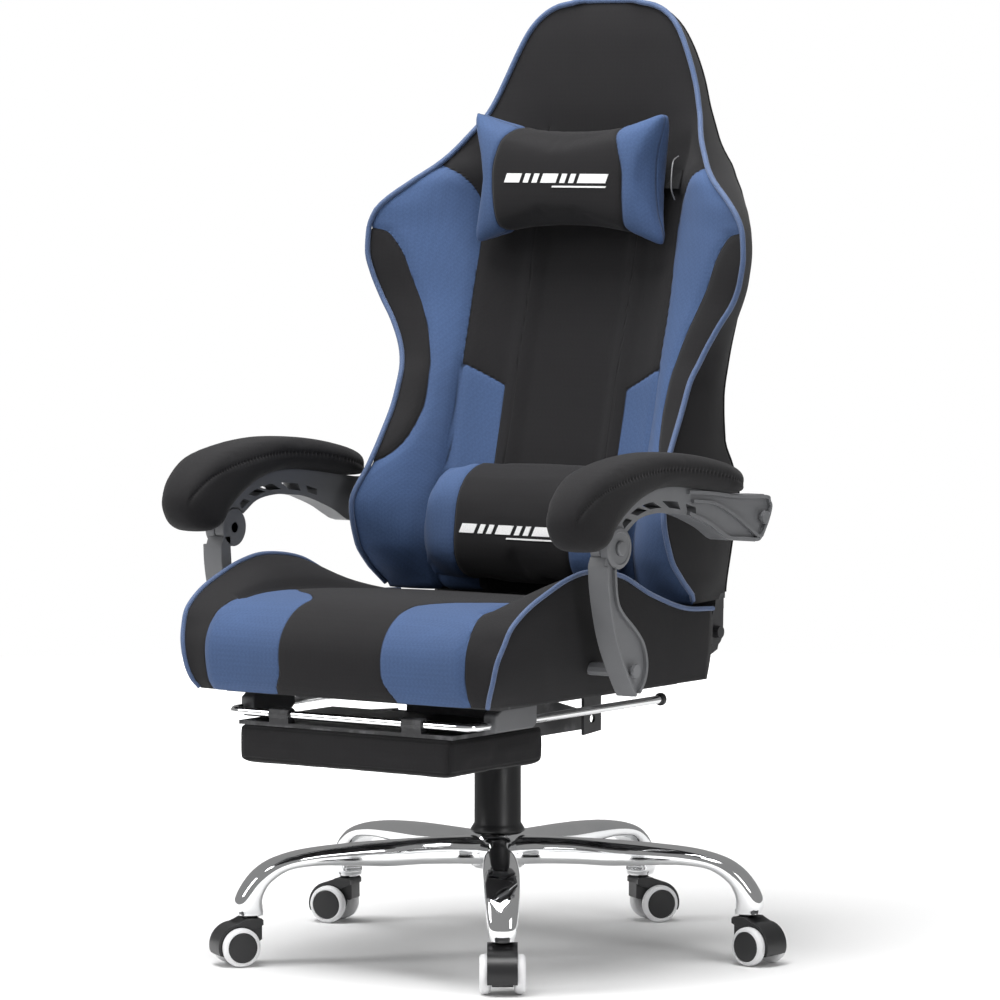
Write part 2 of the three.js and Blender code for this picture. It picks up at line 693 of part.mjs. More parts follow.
function armBeam(side) {
  const dy = postTopY + 186;
  const dz = postTopZ - 566;
  const crown = smooth([[-175, 607], [-143, 624], [-109, 634], [-66, 636], [-7, 630],
    [82, 618], [152, 614]], 7);
  const under = smooth([[65, 560], [53, 564], [23, 579], [-31, 597], [-66, 602], [-100, 604],
    [-138, 599], [-166, 584]], 8);
  const outline = [...crown, [165, 598], [158, 581], [143, 560], [131, 554], ...under,
    ...arc(-186, 566, bossRadius, -20, -270, 9)].map(([y, z]) => [y + dy, z + dz]);
  let beam = plateX([...outline].reverse(), side, armInnerX, armOuterX);
  const slot = [[-164, 603], [-137, 612], [-99, 617], [-46, 613], [-14, 605]];
  slot.slice(0, -1).forEach(([y0, z0], i) => {
    const [y1, z1] = slot[i + 1];
    const floor0 = z0 - 6 - 3 * Math.min(i, 1);
    const floor1 = z1 - 7;
    const open = [[y0 + 4, floor0 + 1], [y1 - 4, floor1], [y1 - 4, z1], [y0 + 4, z0]];
    beam = beam.subtract(plateX(open.map(([y, z]) => [y + dy, z + dz]), side,
      armInnerX - 5, armOuterX + 5));
  });
  const half = (armInnerX + armOuterX) / 2;
  return beam
    .subtract(rodX(postTopY, postTopZ, bossRadius + 1.5, side * (armInnerX - 5), side * half, 18))
    .subtract(rodX(postTopY, postTopZ, pinRadius + 1.6, side * (armInnerX - 5),
      side * (armOuterX + 5), 20))
    .subtract(rodX(beamRearY, beamRearZ, boltRadius + runGap, side * (armInnerX - 5),
      side * (armOuterX + 5), 16));
}

// The two ends of the arm pad are rounded in plan.
function armPadPlan(side) {
  const round = armPadEndRadius;
  const [x0, x1] = [armPadInnerX + round, armPadOuterX - round];
  const [y0, y1] = [armPadFrontY + round, armPadRearY - round];
  const plan = [...arc(x1, y0, round, -90, 0, 4), ...arc(x1, y1, round, 0, 90, 4),
    ...arc(x0, y1, round, 90, 180, 4), ...arc(x0, y0, round, 180, 270, 4)];
  const placed = side > 0 ? plan : plan.map(([x, y]) => [-x, y]).reverse();
  return plateZ(placed, 0, backTopZ);
}

function armPad(side) {
  const rise = postTopZ - 566;
  const run = postTopY + 186;
  const top = smooth([[-262, 566], [-288, 578], [-299, 604], [-287, 631], [-259, 652],
    [-219, 665], [-160, 674], [-96, 677], [-21, 671], [50, 658], [88, 646], [95, 632],
    [88, 620]], 15);
  const under = smooth([[-7, 633], [-66, 639], [-109, 637], [-145, 627], [-182, 609],
    [-212, 592], [-232, 586]], 7);
  const outline = [...top, ...under, [-238, 568]].map(([y, z]) => [y + run, z + rise]);
  const bar = plateX([...outline].reverse(), side, armPadInnerX, armPadOuterX);
  return bar.intersect(armPadPlan(side).translate([0, run, 0]));
}

// A spacer, a bolt through the moving piece, and its head on the outside.
function armBolt(side, y, z, fromX) {
  return rodX(y, z, spacerRadius, side * fromX, side * (armInnerX - gap), 10)
    .add(rodX(y, z, boltRadius, side * fromX, side * (armOuterX + 1), 10))
    .add(rodX(y, z, spacerRadius, side * (armOuterX + gap), side * (armOuterX + 4.5), 10));
}

// The back frame's gusset carries the rear bolt at this distance from the middle.
const gussetX = 204;
const gussetThickness = 4;

for (const [name, side] of [['arm_left', 1], ['arm_right', -1]]) {
  add(`${name}_post`, armPost(side), greyPlastic);
  add(`${name}_beam`, armBeam(side), greyPlastic);
  add(`${name}_pad`, armPad(side), blackFabric);
  add(`${name}_front_bolt`, armBolt(side, postFootY, postFootZ, panHalfWidth + gap), blackSteel);
  add(`${name}_rear_bolt`, armBolt(side, beamRearY, beamRearZ,
    gussetX + gussetThickness + gap), blackSteel);
}

// ---------------------------------------------------------------- backrest

// Half width at a height, and how far back the surfaces lie at that height.
const outlineHalfWidth = [[472, 247], [507, 248], [587, 246], [640, 233], [671, 229],
  [717, 227], [754, 228], [787, 237], [827, 257], [859, 278], [887, 290], [919, 298],
  [948, 296], [970, 286], [990, 267], [1009, 242], [1035, 211], [1069, 185], [1104, 166],
  [1142, 151], [1177, 136], [1206, 121], [1227, 104], [1240, 80], [backTopZ, 46]];
const middleFront = [[472, 97], [642, 138], [705, 154], [780, 172], [844, 190], [936, 211],
  [1009, 226], [1104, 240], [backTopZ, 252]];
const middleRear = [[472, 206], [540, 222], [608, 240], [705, 263], [800, 285], [900, 303],
  [1009, 309], [1069, 305], [1120, 297], [1206, 282], [backTopZ, 268]];
const edgeFront = [[472, 92], [507, 56], [534, 32], [587, 17], [640, 40], [671, 58],
  [717, 86], [754, 103], [787, 118], [827, 126], [859, 129], [919, 123], [970, 125],
  [1009, 145], [1035, 170], [1069, 201], [1104, 222], [1142, 235], [backTopZ, 250]];
const edgeRear = [[472, 202], [540, 217], [608, 234], [644, 219], [680, 200], [730, 200],
  [783, 212], [843, 235], [886, 252], [929, 260], [970, 256], [1009, 275], [1035, 295],
  [wingTopZ, 296]];
const rearHalfWidth = [[472, 220], [671, 220], [717, 218], [754, 218], [990, 220], [1009, 205],
  [1035, 180], [1069, 162], [1104, 155], [1142, 147], [1177, 133], [1206, 118], [1227, 101],
  [1240, 77], [backTopZ, 44]];

const wingRows = [backBottomZ, 534, 587, 640, 717, 787, 859, 919, 970, 1009, 1035, wingTopZ];
const headRows = [wingTopZ + 4, 1142, 1206, 1240, backTopZ];

function halfWidth(z) {
  return along(outlineHalfWidth, z);
}

// The backrest narrows towards its rear panel.
function rearReach(z) {
  return along(rearHalfWidth, z);
}

// How much of the dish is left at a height: none at the bottom and at the head.
function dish(z) {
  return dishDepth * along([[backBottomZ, 0.4], [560, 1], [1009, 1], [1104, 0]], z);
}

function frontAt(x, z) {
  const side = Math.abs(x);
  const middle = along(middleFront, z);
  if (side <= coreHalfWidth) return middle - dish(z) * (side / coreHalfWidth) ** 3;
  const reach = (side - coreHalfWidth) / (halfWidth(z) - coreHalfWidth);
  return middle - dish(z) + (along(edgeFront, z) - middle + dish(z)) * reach;
}

function rearAt(x, z) {
  const side = Math.abs(x);
  const middle = along(middleRear, z);
  if (side <= coreHalfWidth) return middle;
  const reach = (side - coreHalfWidth) / Math.max(rearReach(z) - coreHalfWidth, 1);
  return middle + (along(edgeRear, z) - middle) * Math.min(reach, 1);
}

const crossBarZ = 469; // the lowest cross tube, over the recliners

// The tube frame. slack widens every member, and rear draws it out behind, which
// gives the channel that the frame lies in.
function backFrameShape(slack, rear) {
  const tubeY = (z) => frameFootY + frameLean * (z - backBottomZ);
  const half = frameTube / 2 + slack;
  const cross = (z, reach) => box(-reach - slack, reach + slack, tubeY(z) - half,
    tubeY(z) + half + rear, z - half, z + half);
  const upright = [[tubeY(crossBarZ) - half, crossBarZ], [tubeY(crossBarZ) + half + rear, crossBarZ],
    [tubeY(frameTopZ) + half + rear, frameTopZ + slack], [tubeY(frameTopZ) - half, frameTopZ + slack]];
  const [lowZ, middleZ, highZ] = crossTubeZ;
  let frame = cross(crossBarZ, hingePlateX + hingePlateThickness);
  frame = frame.add(cross(lowZ, gussetX + gussetThickness));
  frame = frame.add(cross(middleZ, uprightOuterX - 2)).add(cross(highZ, uprightOuterX - 2));
  for (const side of [1, -1]) {
    frame = frame.add(plateX(upright, side, uprightInnerX - slack, uprightOuterX + slack));
    const gusset = [[beamRearY - 13 - slack, beamRearZ - 13 - slack],
      [tubeY(lowZ) + rear, beamRearZ - 13 - slack],
      [tubeY(lowZ) + rear, beamRearZ + 13 + slack],
      [beamRearY - 13 - slack, beamRearZ + 13 + slack]];
    frame = frame.add(plateX(gusset, side, gussetX - slack, gussetX + gussetThickness + slack));
  }
  return frame;
}

function backFrame() {
  let frame = backFrameShape(0, 0);
  const hinge = [...arc(reclineY, reclineZ, 19, 180, 360, 8), [reclineY + 20, crossBarZ],
    [reclineY + 2, crossBarZ]];
  for (const side of [1, -1]) {
    frame = frame.add(plateX(hinge, side, hingePlateX, hingePlateX + hingePlateThickness));
    frame = frame.subtract(rodX(reclineY, reclineZ, pinRadius + runGap,
      side * (hingePlateX - 5), side * (hingePlateX + hingePlateThickness + 5), 20));
  }
  return frame;
}

const foamInset = coverThickness + coverClearance;

// The foam over the middle: it widens to the whole headrest above the wings.
function backCushion() {
  const rows = [...wingRows, ...headRows];
  const reach = (z) => (z <= wingTopZ ? coreHalfWidth : halfWidth(z));
  return shaped([-1, -0.8, -0.45, 0.45, 0.8, 1], [0, 1], rows, (u, v, w) => {
    const x = u * reach(w);
    const headX = w <= wingTopZ ? x : Math.min(Math.abs(x), coreHalfWidth - 1);
    const front = w <= wingTopZ ? frontAt(x, w) : along(middleFront, w) - dish(w) * u ** 2;
    return [x, v ? rearAt(headX, w) - foamInset : front, w];
  }).subtract(backFrameShape(gap, 80));
}

function backWing(side) {
  const inner = coreHalfWidth + gap;
  return shaped([0, 1], [0, 1], wingRows, (u, v, w) => {
    const x = inner + u * ((v ? rearReach(w) : halfWidth(w)) - inner);
    return [x, v ? rearAt(x, w) - foamInset : frontAt(x, w), w];
  }, side)
    .subtract(backFrameShape(gap, 80))
    .subtract(rodX(beamRearY, beamRearZ, spacerRadius + gap, side * gussetX, side * 270, 16));
}

// One half of the rear panel that closes the back, lying over the middle line a little.
function backCoverHalf(side) {
  const rows = [...wingRows, ...headRows.slice(1)];
  const inset = 4;
  return shaped([-2, -1, 0], [0, 1], rows, (u, v, w) => {
    const edge = rearReach(w) - inset;
    const x = [1, -Math.min(coreHalfWidth, edge - 2), -edge][-u];
    const rear = w <= wingTopZ ? rearAt(x, w) : along(middleRear, w);
    return [x, rear - (v ? 0 : coverThickness), w];
  }, side);
}

add('back_frame', backFrame(), blackSteel);
add('back_cushion', backCushion(), blackFabric);
add('back_wing_left', backWing(1), blueFabric);
add('back_wing_right', backWing(-1), blueFabric);
add('back_cover', backCoverHalf(1).add(backCoverHalf(-1)), blackFabric);

// ---------------------------------------------------------------- loose cushions

const rest = 2.5; // how far the lumbar cushion stands off the backrest
const strapStandOff = 3.5;
const pillowRest = strapStandOff + strapThickness + 2;

function headPillow() {
  const edges = [-1, -0.9, -0.5, 0, 0.5, 0.9, 1];
  return shaped(edges, [0, 1], [-1, -0.85, -0.4, 0.4, 0.85, 1], (u, v, w) => {
    const x = u * pillowHalfWidth;
    const tall = pillowHalfHeight - pillowWaist * (1 - u ** 4);
    const z = pillowMiddleZ + w * tall;
    const back = Math.min(frontAt(x, z), frontAt(x, z + 30), frontAt(x, z - 30)) - pillowRest;
    const full = Math.max(0, 1 - Math.abs(w) ** 3.2) * Math.max(0, 1 - Math.abs(u) ** 6);
    const plump = pillowPlump * Math.sqrt(full);
    return [x, v ? Math.min(back, pillowSeamY + 7 + 1.6 * plump) : pillowSeamY - 7 - plump, z];
  });
}

// An elastic band behind the pillow, hooked into the seams of the middle panel.
function headStrap() {
  const reach = pillowHalfWidth + 4;
  return shaped([-1, -0.75, -0.4, 0, 0.4, 0.75, 1], [0, 1], [-1, 1], (u, v, w) => {
    const x = u * reach;
    const z = pillowMiddleZ + w * strapWidth / 2;
    return [x, frontAt(x, z) - strapStandOff - (v ? 0 : strapThickness), z];
  });
}

function lumbarCushion() {
  const edges = [-1, -0.92, -0.5, 0, 0.5, 0.92, 1];
  const tall = lumbarTopZ - lumbarBottomZ;
  return shaped(edges, [0, 1], [0, 0.12, 0.5, 0.88, 1], (u, v, w) => {
    const x = u * lumbarHalfWidth;
    const z = lumbarBottomZ + w * tall;
    const back = along(middleFront, z) - rest - 46 * Math.abs(u) ** 3 - 2;
    const roll = 30 * Math.abs(2 * w - 1) ** 3 + 14 * Math.abs(u) ** 4;
    return [x, v ? back : lumbarFrontY + roll + 0.12 * (z - lumbarBottomZ), z];
  });
}

add('head_pillow', headPillow(), blackFabric);
add('head_strap', headStrap(), webbing);
add('lumbar_cushion', lumbarCushion(), blackFabric);

// ---------------------------------------------------------------- the part's frame

const bounds = new THREE.Box3().setFromObject(chair, true);
const centre = bounds.getCenter(new THREE.Vector3());
chair.position.set(-centre.x, -centre.y, -bounds.min.z);

const part = new THREE.Group();
part.add(chair);

export default part;
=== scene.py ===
import json
import math

import bmesh
import bpy
import numpy as np
from mathutils import Matrix, Vector
from mathutils.bvhtree import BVHTree


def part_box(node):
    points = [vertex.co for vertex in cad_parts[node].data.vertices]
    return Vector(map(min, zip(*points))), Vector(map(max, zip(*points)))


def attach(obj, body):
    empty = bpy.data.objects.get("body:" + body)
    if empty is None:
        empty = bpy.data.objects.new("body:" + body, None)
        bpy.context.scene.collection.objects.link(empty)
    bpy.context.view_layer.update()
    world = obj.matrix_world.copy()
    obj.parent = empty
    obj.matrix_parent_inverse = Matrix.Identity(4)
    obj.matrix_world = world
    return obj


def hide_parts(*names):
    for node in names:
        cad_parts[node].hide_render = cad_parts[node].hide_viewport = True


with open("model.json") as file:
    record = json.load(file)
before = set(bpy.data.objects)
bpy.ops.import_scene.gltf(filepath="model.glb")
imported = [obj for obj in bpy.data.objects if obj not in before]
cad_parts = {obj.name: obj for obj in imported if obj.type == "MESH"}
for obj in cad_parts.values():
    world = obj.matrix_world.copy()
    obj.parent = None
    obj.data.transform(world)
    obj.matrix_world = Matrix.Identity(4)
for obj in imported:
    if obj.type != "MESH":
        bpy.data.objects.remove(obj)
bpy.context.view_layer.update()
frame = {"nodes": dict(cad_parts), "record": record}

# Lengths below are millimetres about the swivel axis, with the floor at z = 14, the front
# of the chair at -Y and the sitter's left at +X. MM and AXIS take them to the row frame.
MM = 0.001
FLOOR = 14
COLUMN_TOP = 328
column_low, column_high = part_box("lift_inner_column")
AXIS = np.array([(column_low[0] + column_high[0]) / 2, (column_low[1] + column_high[1]) / 2,
                 column_high[2] - COLUMN_TOP * MM])


def to_frame(points):
    return np.asarray(points, float) * MM + AXIS


def node_box(name):
    """A node's lowest and highest corner in millimetres about the swivel axis."""
    low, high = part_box(name)
    return (np.array(low) - AXIS) / MM, (np.array(high) - AXIS) / MM


# ------------------------------------------------------------------ curves

def through(pairs):
    """A smooth function through (t, value) pairs, level past its ends and with no overshoot."""
    t = np.array([p[0] for p in pairs], float)
    v = np.array([p[1] for p in pairs], float)
    slope = np.diff(v) / np.diff(t)
    tangent = np.zeros(len(t))
    for i in range(1, len(t) - 1):
        if slope[i - 1] * slope[i] > 0:
            tangent[i] = 2 * slope[i - 1] * slope[i] / (slope[i - 1] + slope[i])

    def value(x):
        x = np.clip(np.asarray(x, float), t[0], t[-1])
        i = np.clip(np.searchsorted(t, x, side="right") - 1, 0, len(t) - 2)
        h = t[i + 1] - t[i]
        s = (x - t[i]) / h
        return ((1 + 2 * s) * (1 - s) ** 2 * v[i] + s * (1 - s) ** 2 * h * tangent[i]
                + s * s * (3 - 2 * s) * v[i + 1] + s * s * (s - 1) * h * tangent[i + 1])
    return value


def spline(points, count, closed=False):
    """Catmull-Rom points, evenly spread by the points' own spacing."""
    p = np.array(points, float)
    p = np.vstack([p[-1:], p, p[:2]]) if closed else np.vstack([2 * p[0] - p[1], p, 2 * p[-1] - p[-2]])
    segments = len(p) - 3
    out = []
    for k in range(count):
        s = segments * k / (count if closed else count - 1)
        i = min(int(s), segments - 1)
        f = s - i
        a, b, c, d = p[i:i + 4]
        out.append(0.5 * (2 * b + (c - a) * f + (2 * a - 5 * b + 4 * c - d) * f ** 2
                          + (3 * b - a - 3 * c + d) * f ** 3))
    return np.array(out)


def smoothstep(a, b, x):
    s = np.clip((np.asarray(x, float) - a) / (b - a), 0, 1)
    return s * s * (3 - 2 * s)


# ------------------------------------------------------------------ meshes

def add_mesh(name, points, faces, materials, sharp=None):
    mesh = bpy.data.meshes.new(name)
    mesh.from_pydata([tuple(p) for p in to_frame(points)], [], [tuple(f) for f in faces])
    for m in materials:
        mesh.materials.append(m)
    mesh.polygons.foreach_set("use_smooth", [True] * len(mesh.polygons))
    if sharp is not None:
        mesh.set_sharp_from_angle(angle=math.radians(sharp))
    mesh.update()
    obj = bpy.data.objects.new(name, mesh)
    bpy.context.scene.collection.objects.link(obj)
    return obj


def put(obj, body, slot, *nodes):
    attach(obj, body)
    if nodes:
        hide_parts(*nodes)
    return obj


def grid_faces(nu, nv, start=0, closed_v=False):
    faces = []
    for i in range(nu - 1):
        for j in range(nv if closed_v else nv - 1):
            a, b = i * nv + j, (i + 1) * nv + j
            c, d = (i + 1) * nv + (j + 1) % nv, i * nv + (j + 1) % nv
            faces.append((start + a, start + b, start + c, start + d))
    return faces


def tidy_mesh(obj, merge=0.02, sharp=None):
    """Joins the sheets of a shell where they meet, and turns every face outward."""
    bm = bmesh.new()
    bm.from_mesh(obj.data)
    bmesh.ops.remove_doubles(bm, verts=bm.verts, dist=merge * MM)
    bmesh.ops.recalc_face_normals(bm, faces=bm.faces)
    bm.to_mesh(obj.data)
    bm.free()
    if sharp is not None:
        obj.data.set_sharp_from_angle(angle=math.radians(sharp))
    obj.data.update()
    return obj


def shell(name, sheets, materials):
    """One closed body from several grids of points that meet along their edges."""
    points, faces = [], []
    for sheet in sheets:
        nu, nv = sheet.shape[:2]
        faces += grid_faces(nu, nv, sum(len(p) for p in points))
        points.append(sheet.reshape(-1, 3))
    return tidy_mesh(add_mesh(name, np.vstack(points), faces, materials))


def turned(name, profile, centre, axis, materials, count=48, sharp=35):
    """A lathed body: (radius, height) pairs round an axis, with its ends closed."""
    axis = np.array(axis, float) / np.linalg.norm(axis)
    side = np.cross(axis, [0, 0, 1] if abs(axis[2]) < 0.9 else [1, 0, 0])
    side /= np.linalg.norm(side)
    other = np.cross(axis, side)
    angles = np.arange(count) * 2 * math.pi / count
    ring = np.outer(np.cos(angles), side) + np.outer(np.sin(angles), other)
    points = [np.asarray(centre, float) + r * ring + h * axis for r, h in profile]
    faces = []
    for k in range(len(profile) - 1):
        a, b = k * count, (k + 1) * count
        for i in range(count):
            j = (i + 1) % count
            faces.append((a + i, a + j, b + j, b + i))
    return tidy_mesh(add_mesh(name, np.vstack(points), faces, materials), sharp=sharp)


def bevel(obj, width, segments=3, angle=35):
    m = obj.modifiers.new("bevel", "BEVEL")
    m.width = width * MM
    m.segments = segments
    m.limit_method = "ANGLE"
    m.angle_limit = math.radians(angle)
    m.harden_normals = True
    return obj


def slab_data(outline, x0, x1, start=0):
    """An outline of (y, z) points as a plate between two x."""
    n = len(outline)
    points = [(x0, y, z) for y, z in outline] + [(x1, y, z) for y, z in outline]
    faces = [tuple(start + i for i in range(n)), tuple(start + n + i for i in reversed(range(n)))]
    faces += [(start + i, start + n + i, start + n + (i + 1) % n, start + (i + 1) % n)
              for i in range(n)]
    return points, faces


def slabs(name, plates, material, width=1.5, segments=3):
    """Several plates as one object. Each is (outline, x0, x1)."""
    points, faces = [], []
    for outline, x0, x1 in plates:
        p, f = slab_data(outline, x0, x1, len(points))
        points += p
        faces += f
    obj = add_mesh(name, points, faces, [material], sharp=30)
    tidy_mesh(obj, merge=0.0001, sharp=30)
    return bevel(obj, width, segments)


def disc(y, z, radius, count=40):
    return [(y + radius * math.cos(2 * math.pi * i / count),
             z + radius * math.sin(2 * math.pi * i / count)) for i in range(count)]


def tube(name, points, radius, material, resolution=6):
    """A round cord along points, as a curve."""
    data = bpy.data.curves.new(name, "CURVE")
    data.dimensions = "3D"
    data.bevel_depth = radius * MM
    data.bevel_resolution = resolution
    data.use_fill_caps = True
    line = data.splines.new("POLY")
    where = to_frame(points)
    line.points.add(len(where) - 1)
    for k, p in enumerate(where):
        line.points[k].co = (*p, 1)
    line.use_smooth = True
    data.materials.append(material)
    obj = bpy.data.objects.new(name, data)
    bpy.context.scene.collection.objects.link(obj)
    return obj


def local_mm(obj):
    co = np.empty(len(obj.data.vertices) * 3, np.float32)
    obj.data.vertices.foreach_get("co", co)
    return (co.reshape(-1, 3).astype(float) - AXIS) / MM


def set_mm(obj, points):
    obj.data.vertices.foreach_set("co", to_frame(points).astype(np.float32).ravel())
    obj.data.update()


def attribute(obj, name, values):
    a = obj.data.attributes.get(name) or obj.data.attributes.new(name, "FLOAT", "POINT")
    a.data.foreach_set("value", np.asarray(values, np.float32))


def surface_of(obj):
    bm = bmesh.new()
    bm.from_mesh(obj.data)
    tree = BVHTree.FromBMesh(bm)
    bm.free()
    return tree


def on_surface(tree, start, direction, lift=0.0):
    """The point where a ray in millimetres meets a surface, lifted off it."""
    hit, normal, _, _ = tree.ray_cast(Vector(to_frame(start)), Vector(direction).normalized())
    if hit is None:
        return None
    out = np.array(hit) + np.array(normal) * (lift * MM if normal.dot(Vector(direction)) < 0 else -lift * MM)
    return (out - AXIS) / MM


# ------------------------------------------------------------------ materials

class Nodes:
    """A short way to write a node tree."""

    def __init__(self, name):
        self.material = bpy.data.materials.new(name)
        self.material.use_nodes = True
        self.tree = self.material.node_tree
        self.shader = self.tree.nodes["Principled BSDF"]

    def add(self, kind, **inputs):
        node = self.tree.nodes.new(kind)
        for key, value in inputs.items():
            self.set(node, key, value)
        return node

    def set(self, node, key, value):
        numbered = key[0] == "i" and key[1:].isdigit()
        socket = node.inputs[int(key[1:]) if numbered else key.replace("_", " ")]
        if isinstance(value, bpy.types.NodeSocket):
            self.tree.links.new(value, socket)
        else:
            socket.default_value = value

    def math(self, operation, a, b=0.0):
        node = self.tree.nodes.new("ShaderNodeMath")
        node.operation = operation
        self.set(node, "i0", a)
        self.set(node, "i1", b)
        return node.outputs[0]

    def noise(self, vector, scale, detail=3.0, rough=0.55):
        return self.add("ShaderNodeTexNoise", Vector=vector, Scale=scale, Detail=detail,
                        Roughness=rough).outputs["Fac"]

    def ramp(self, value, a, b, low=0.0, high=1.0):
        node = self.add("ShaderNodeMapRange", Value=value)
        node.inputs["From Min"].default_value = a
        node.inputs["From Max"].default_value = b
        node.inputs["To Min"].default_value = low
        node.inputs["To Max"].default_value = high
        node.interpolation_type = "SMOOTHSTEP"
        return node.outputs["Result"]

    def mix(self, factor, a, b, blend="MIX"):
        node = self.tree.nodes.new("ShaderNodeMix")
        node.data_type = "RGBA"
        node.blend_type = blend
        self.set(node, "i0", factor)
        self.set(node, "i6", a)
        self.set(node, "i7", b)
        return node.outputs[2]

    def shaded(self, colour, shade):
        tint = self.add("ShaderNodeCombineColor", i0=shade, i1=shade, i2=shade).outputs[0]
        return self.mix(1.0, colour, tint, "MULTIPLY")

    def worn_edges(self, low, high, amount):
        """How worn a convex edge is: more where it is sharper, and in patches."""
        geometry = self.tree.nodes.new("ShaderNodeNewGeometry")
        return self.math("MULTIPLY", self.ramp(geometry.outputs["Pointiness"], low, high), amount)

    def bump(self, height, strength, distance, normal=None):
        node = self.add("ShaderNodeBump", Height=height, Strength=strength, Distance=distance)
        if normal is not None:
            self.set(node, "Normal", normal)
        return node.outputs["Normal"]

    def attribute(self, name):
        node = self.tree.nodes.new("ShaderNodeAttribute")
        node.attribute_name = name
        return node.outputs["Fac"]

    def coordinates(self):
        return self.tree.nodes.new("ShaderNodeTexCoord").outputs["Object"]


BLACK = (0.0105, 0.0100, 0.0110, 1)
BLUE = (0.048, 0.084, 0.178, 1)


def weave_height(n, where, pitch):
    """Small raised threads, the same on a surface that faces any way."""
    scaled = n.add("ShaderNodeVectorMath", i0=where, i1=(2 * math.pi / pitch,) * 3)
    scaled.operation = "MULTIPLY"
    split = n.add("ShaderNodeSeparateXYZ", i0=scaled.outputs[0])
    x, y, z = split.outputs
    terms = []
    for a, b in ((x, y), (y, z), (z, x)):
        terms.append(n.math("MULTIPLY", n.math("SINE", a), n.math("COSINE", b)))
    return n.math("ADD", n.math("ADD", terms[0], terms[1]), terms[2])


def fabric(name, plain=BLACK, second=None, sheen=0.06, pitch=0.0012, strength=0.3):
    """Woven upholstery. With a second colour, the mesh's panel value picks between the
    two; its seam value is the distance to the nearest seam in millimetres, and close to a seam the colour is
    darkened as painted shade in the seam groove."""
    n = Nodes(name)
    where = n.coordinates()
    weave = weave_height(n, where, pitch)
    cloud = n.noise(where, 7.0, 4.0)
    grain = n.noise(where, 900.0, 2.0)
    colour = plain
    if second is not None:
        panel = n.attribute("panel")
        colour = n.mix(n.ramp(panel, -0.35, 0.35), plain, second)
    shade = n.math("ADD", n.math("MULTIPLY", n.ramp(cloud, 0.3, 0.7), 0.10), 0.93)
    shade = n.math("MULTIPLY", shade, n.ramp(weave, -1.4, 1.4, 0.94, 1.05))
    shade = n.math("MULTIPLY", shade, n.ramp(grain, 0.3, 0.7, 0.92, 1.08))
    knit = n.ramp(weave_height(n, where, 0.0064), -1.4, 1.4, 0.95, 1.04)
    shade = n.math("MULTIPLY", shade, knit)
    seam = n.attribute("seam")
    # Painted shade: the colour is darkened to about a third within two millimetres of a seam, in place of the
    # shade that falls in the seam groove.
    shade = n.math("MULTIPLY", shade, n.ramp(seam, 0.2, 1.8, 0.35, 1.0))
    n.set(n.shader, "Base Color", n.shaded(colour, shade))
    n.set(n.shader, "Roughness", n.ramp(cloud, 0.2, 0.8, 0.78, 0.9))
    n.shader.inputs["Specular IOR Level"].default_value = 0.22
    n.shader.inputs["Sheen Weight"].default_value = sheen
    n.shader.inputs["Sheen Roughness"].default_value = 0.45
    height = n.math("ADD", n.math("MULTIPLY", weave, 0.25), n.math("MULTIPLY", grain, 0.5))
    normal = n.bump(height, strength, 0.0004)
    groove = n.ramp(seam, 0.0, 3.2)
    n.set(n.shader, "Normal", n.bump(groove, 0.7, 0.0016, normal))
    return n.material


def piping_material():
    n = Nodes("blue_piping")
    where = n.coordinates()
    weave = weave_height(n, where, 0.0021)
    shade = n.ramp(weave, -1.4, 1.4, 0.85, 1.12)
    n.set(n.shader, "Base Color", n.shaded(BLUE, shade))
    n.set(n.shader, "Roughness", n.ramp(n.noise(where, 60.0), 0.3, 0.7, 0.62, 0.78))
    n.shader.inputs["Sheen Weight"].default_value = 0.2
    n.set(n.shader, "Normal", n.bump(weave, 0.3, 0.0003))
    return n.material


def thread_material(name, colour):
    n = Nodes(name)
    where = n.coordinates()
    twist = n.noise(where, 1500.0, 2.0)
    shade = n.ramp(twist, 0.3, 0.7, 0.85, 1.1)
    n.set(n.shader, "Base Color", n.shaded(colour, shade))
    n.shader.inputs["Roughness"].default_value = 0.55
    n.shader.inputs["Sheen Weight"].default_value = 0.3
    n.set(n.shader, "Normal", n.bump(twist, 0.4, 0.0002))
    return n.material


def plastic(name, colour, rough, grain=2200.0, strength=0.18, wear=0.25):
    """Moulded plastic with a fine spark-eroded grain, paler on worn edges."""
    n = Nodes(name)
    where = n.coordinates()
    fine = n.noise(where, grain, 2.0)
    broad = n.noise(where, 18.0, 4.0)
    worn = n.worn_edges(0.53, 0.62, n.ramp(broad, 0.45, 0.7, 0.0, wear))
    pale = tuple(min(1, c * 1.9 + 0.02) for c in colour[:3]) + (1,)
    base = n.mix(n.ramp(broad, 0.3, 0.7, 0.0, 0.12), colour, tuple(c * 0.8 for c in colour[:3]) + (1,))
    n.set(n.shader, "Base Color", n.mix(worn, base, pale))
    n.set(n.shader, "Roughness", n.ramp(broad, 0.3, 0.7, rough - 0.05, rough + 0.06))
    n.set(n.shader, "Normal", n.bump(fine, strength, 0.0002))
    return n.material


def chrome_material(name="polished_chrome"):
    n = Nodes(name)
    where = n.coordinates()
    smear = n.noise(where, 12.0, 5.0)
    n.shader.inputs["Metallic"].default_value = 1.0
    clean, dull = (0.88, 0.885, 0.89, 1), (0.80, 0.81, 0.82, 1)
    n.set(n.shader, "Base Color", n.mix(n.ramp(smear, 0.35, 0.75), clean, dull))
    n.set(n.shader, "Roughness", n.ramp(smear, 0.3, 0.75, 0.035, 0.085))
    n.set(n.shader, "Normal", n.bump(n.noise(where, 35.0, 2.0), 0.05, 0.001))
    return n.material


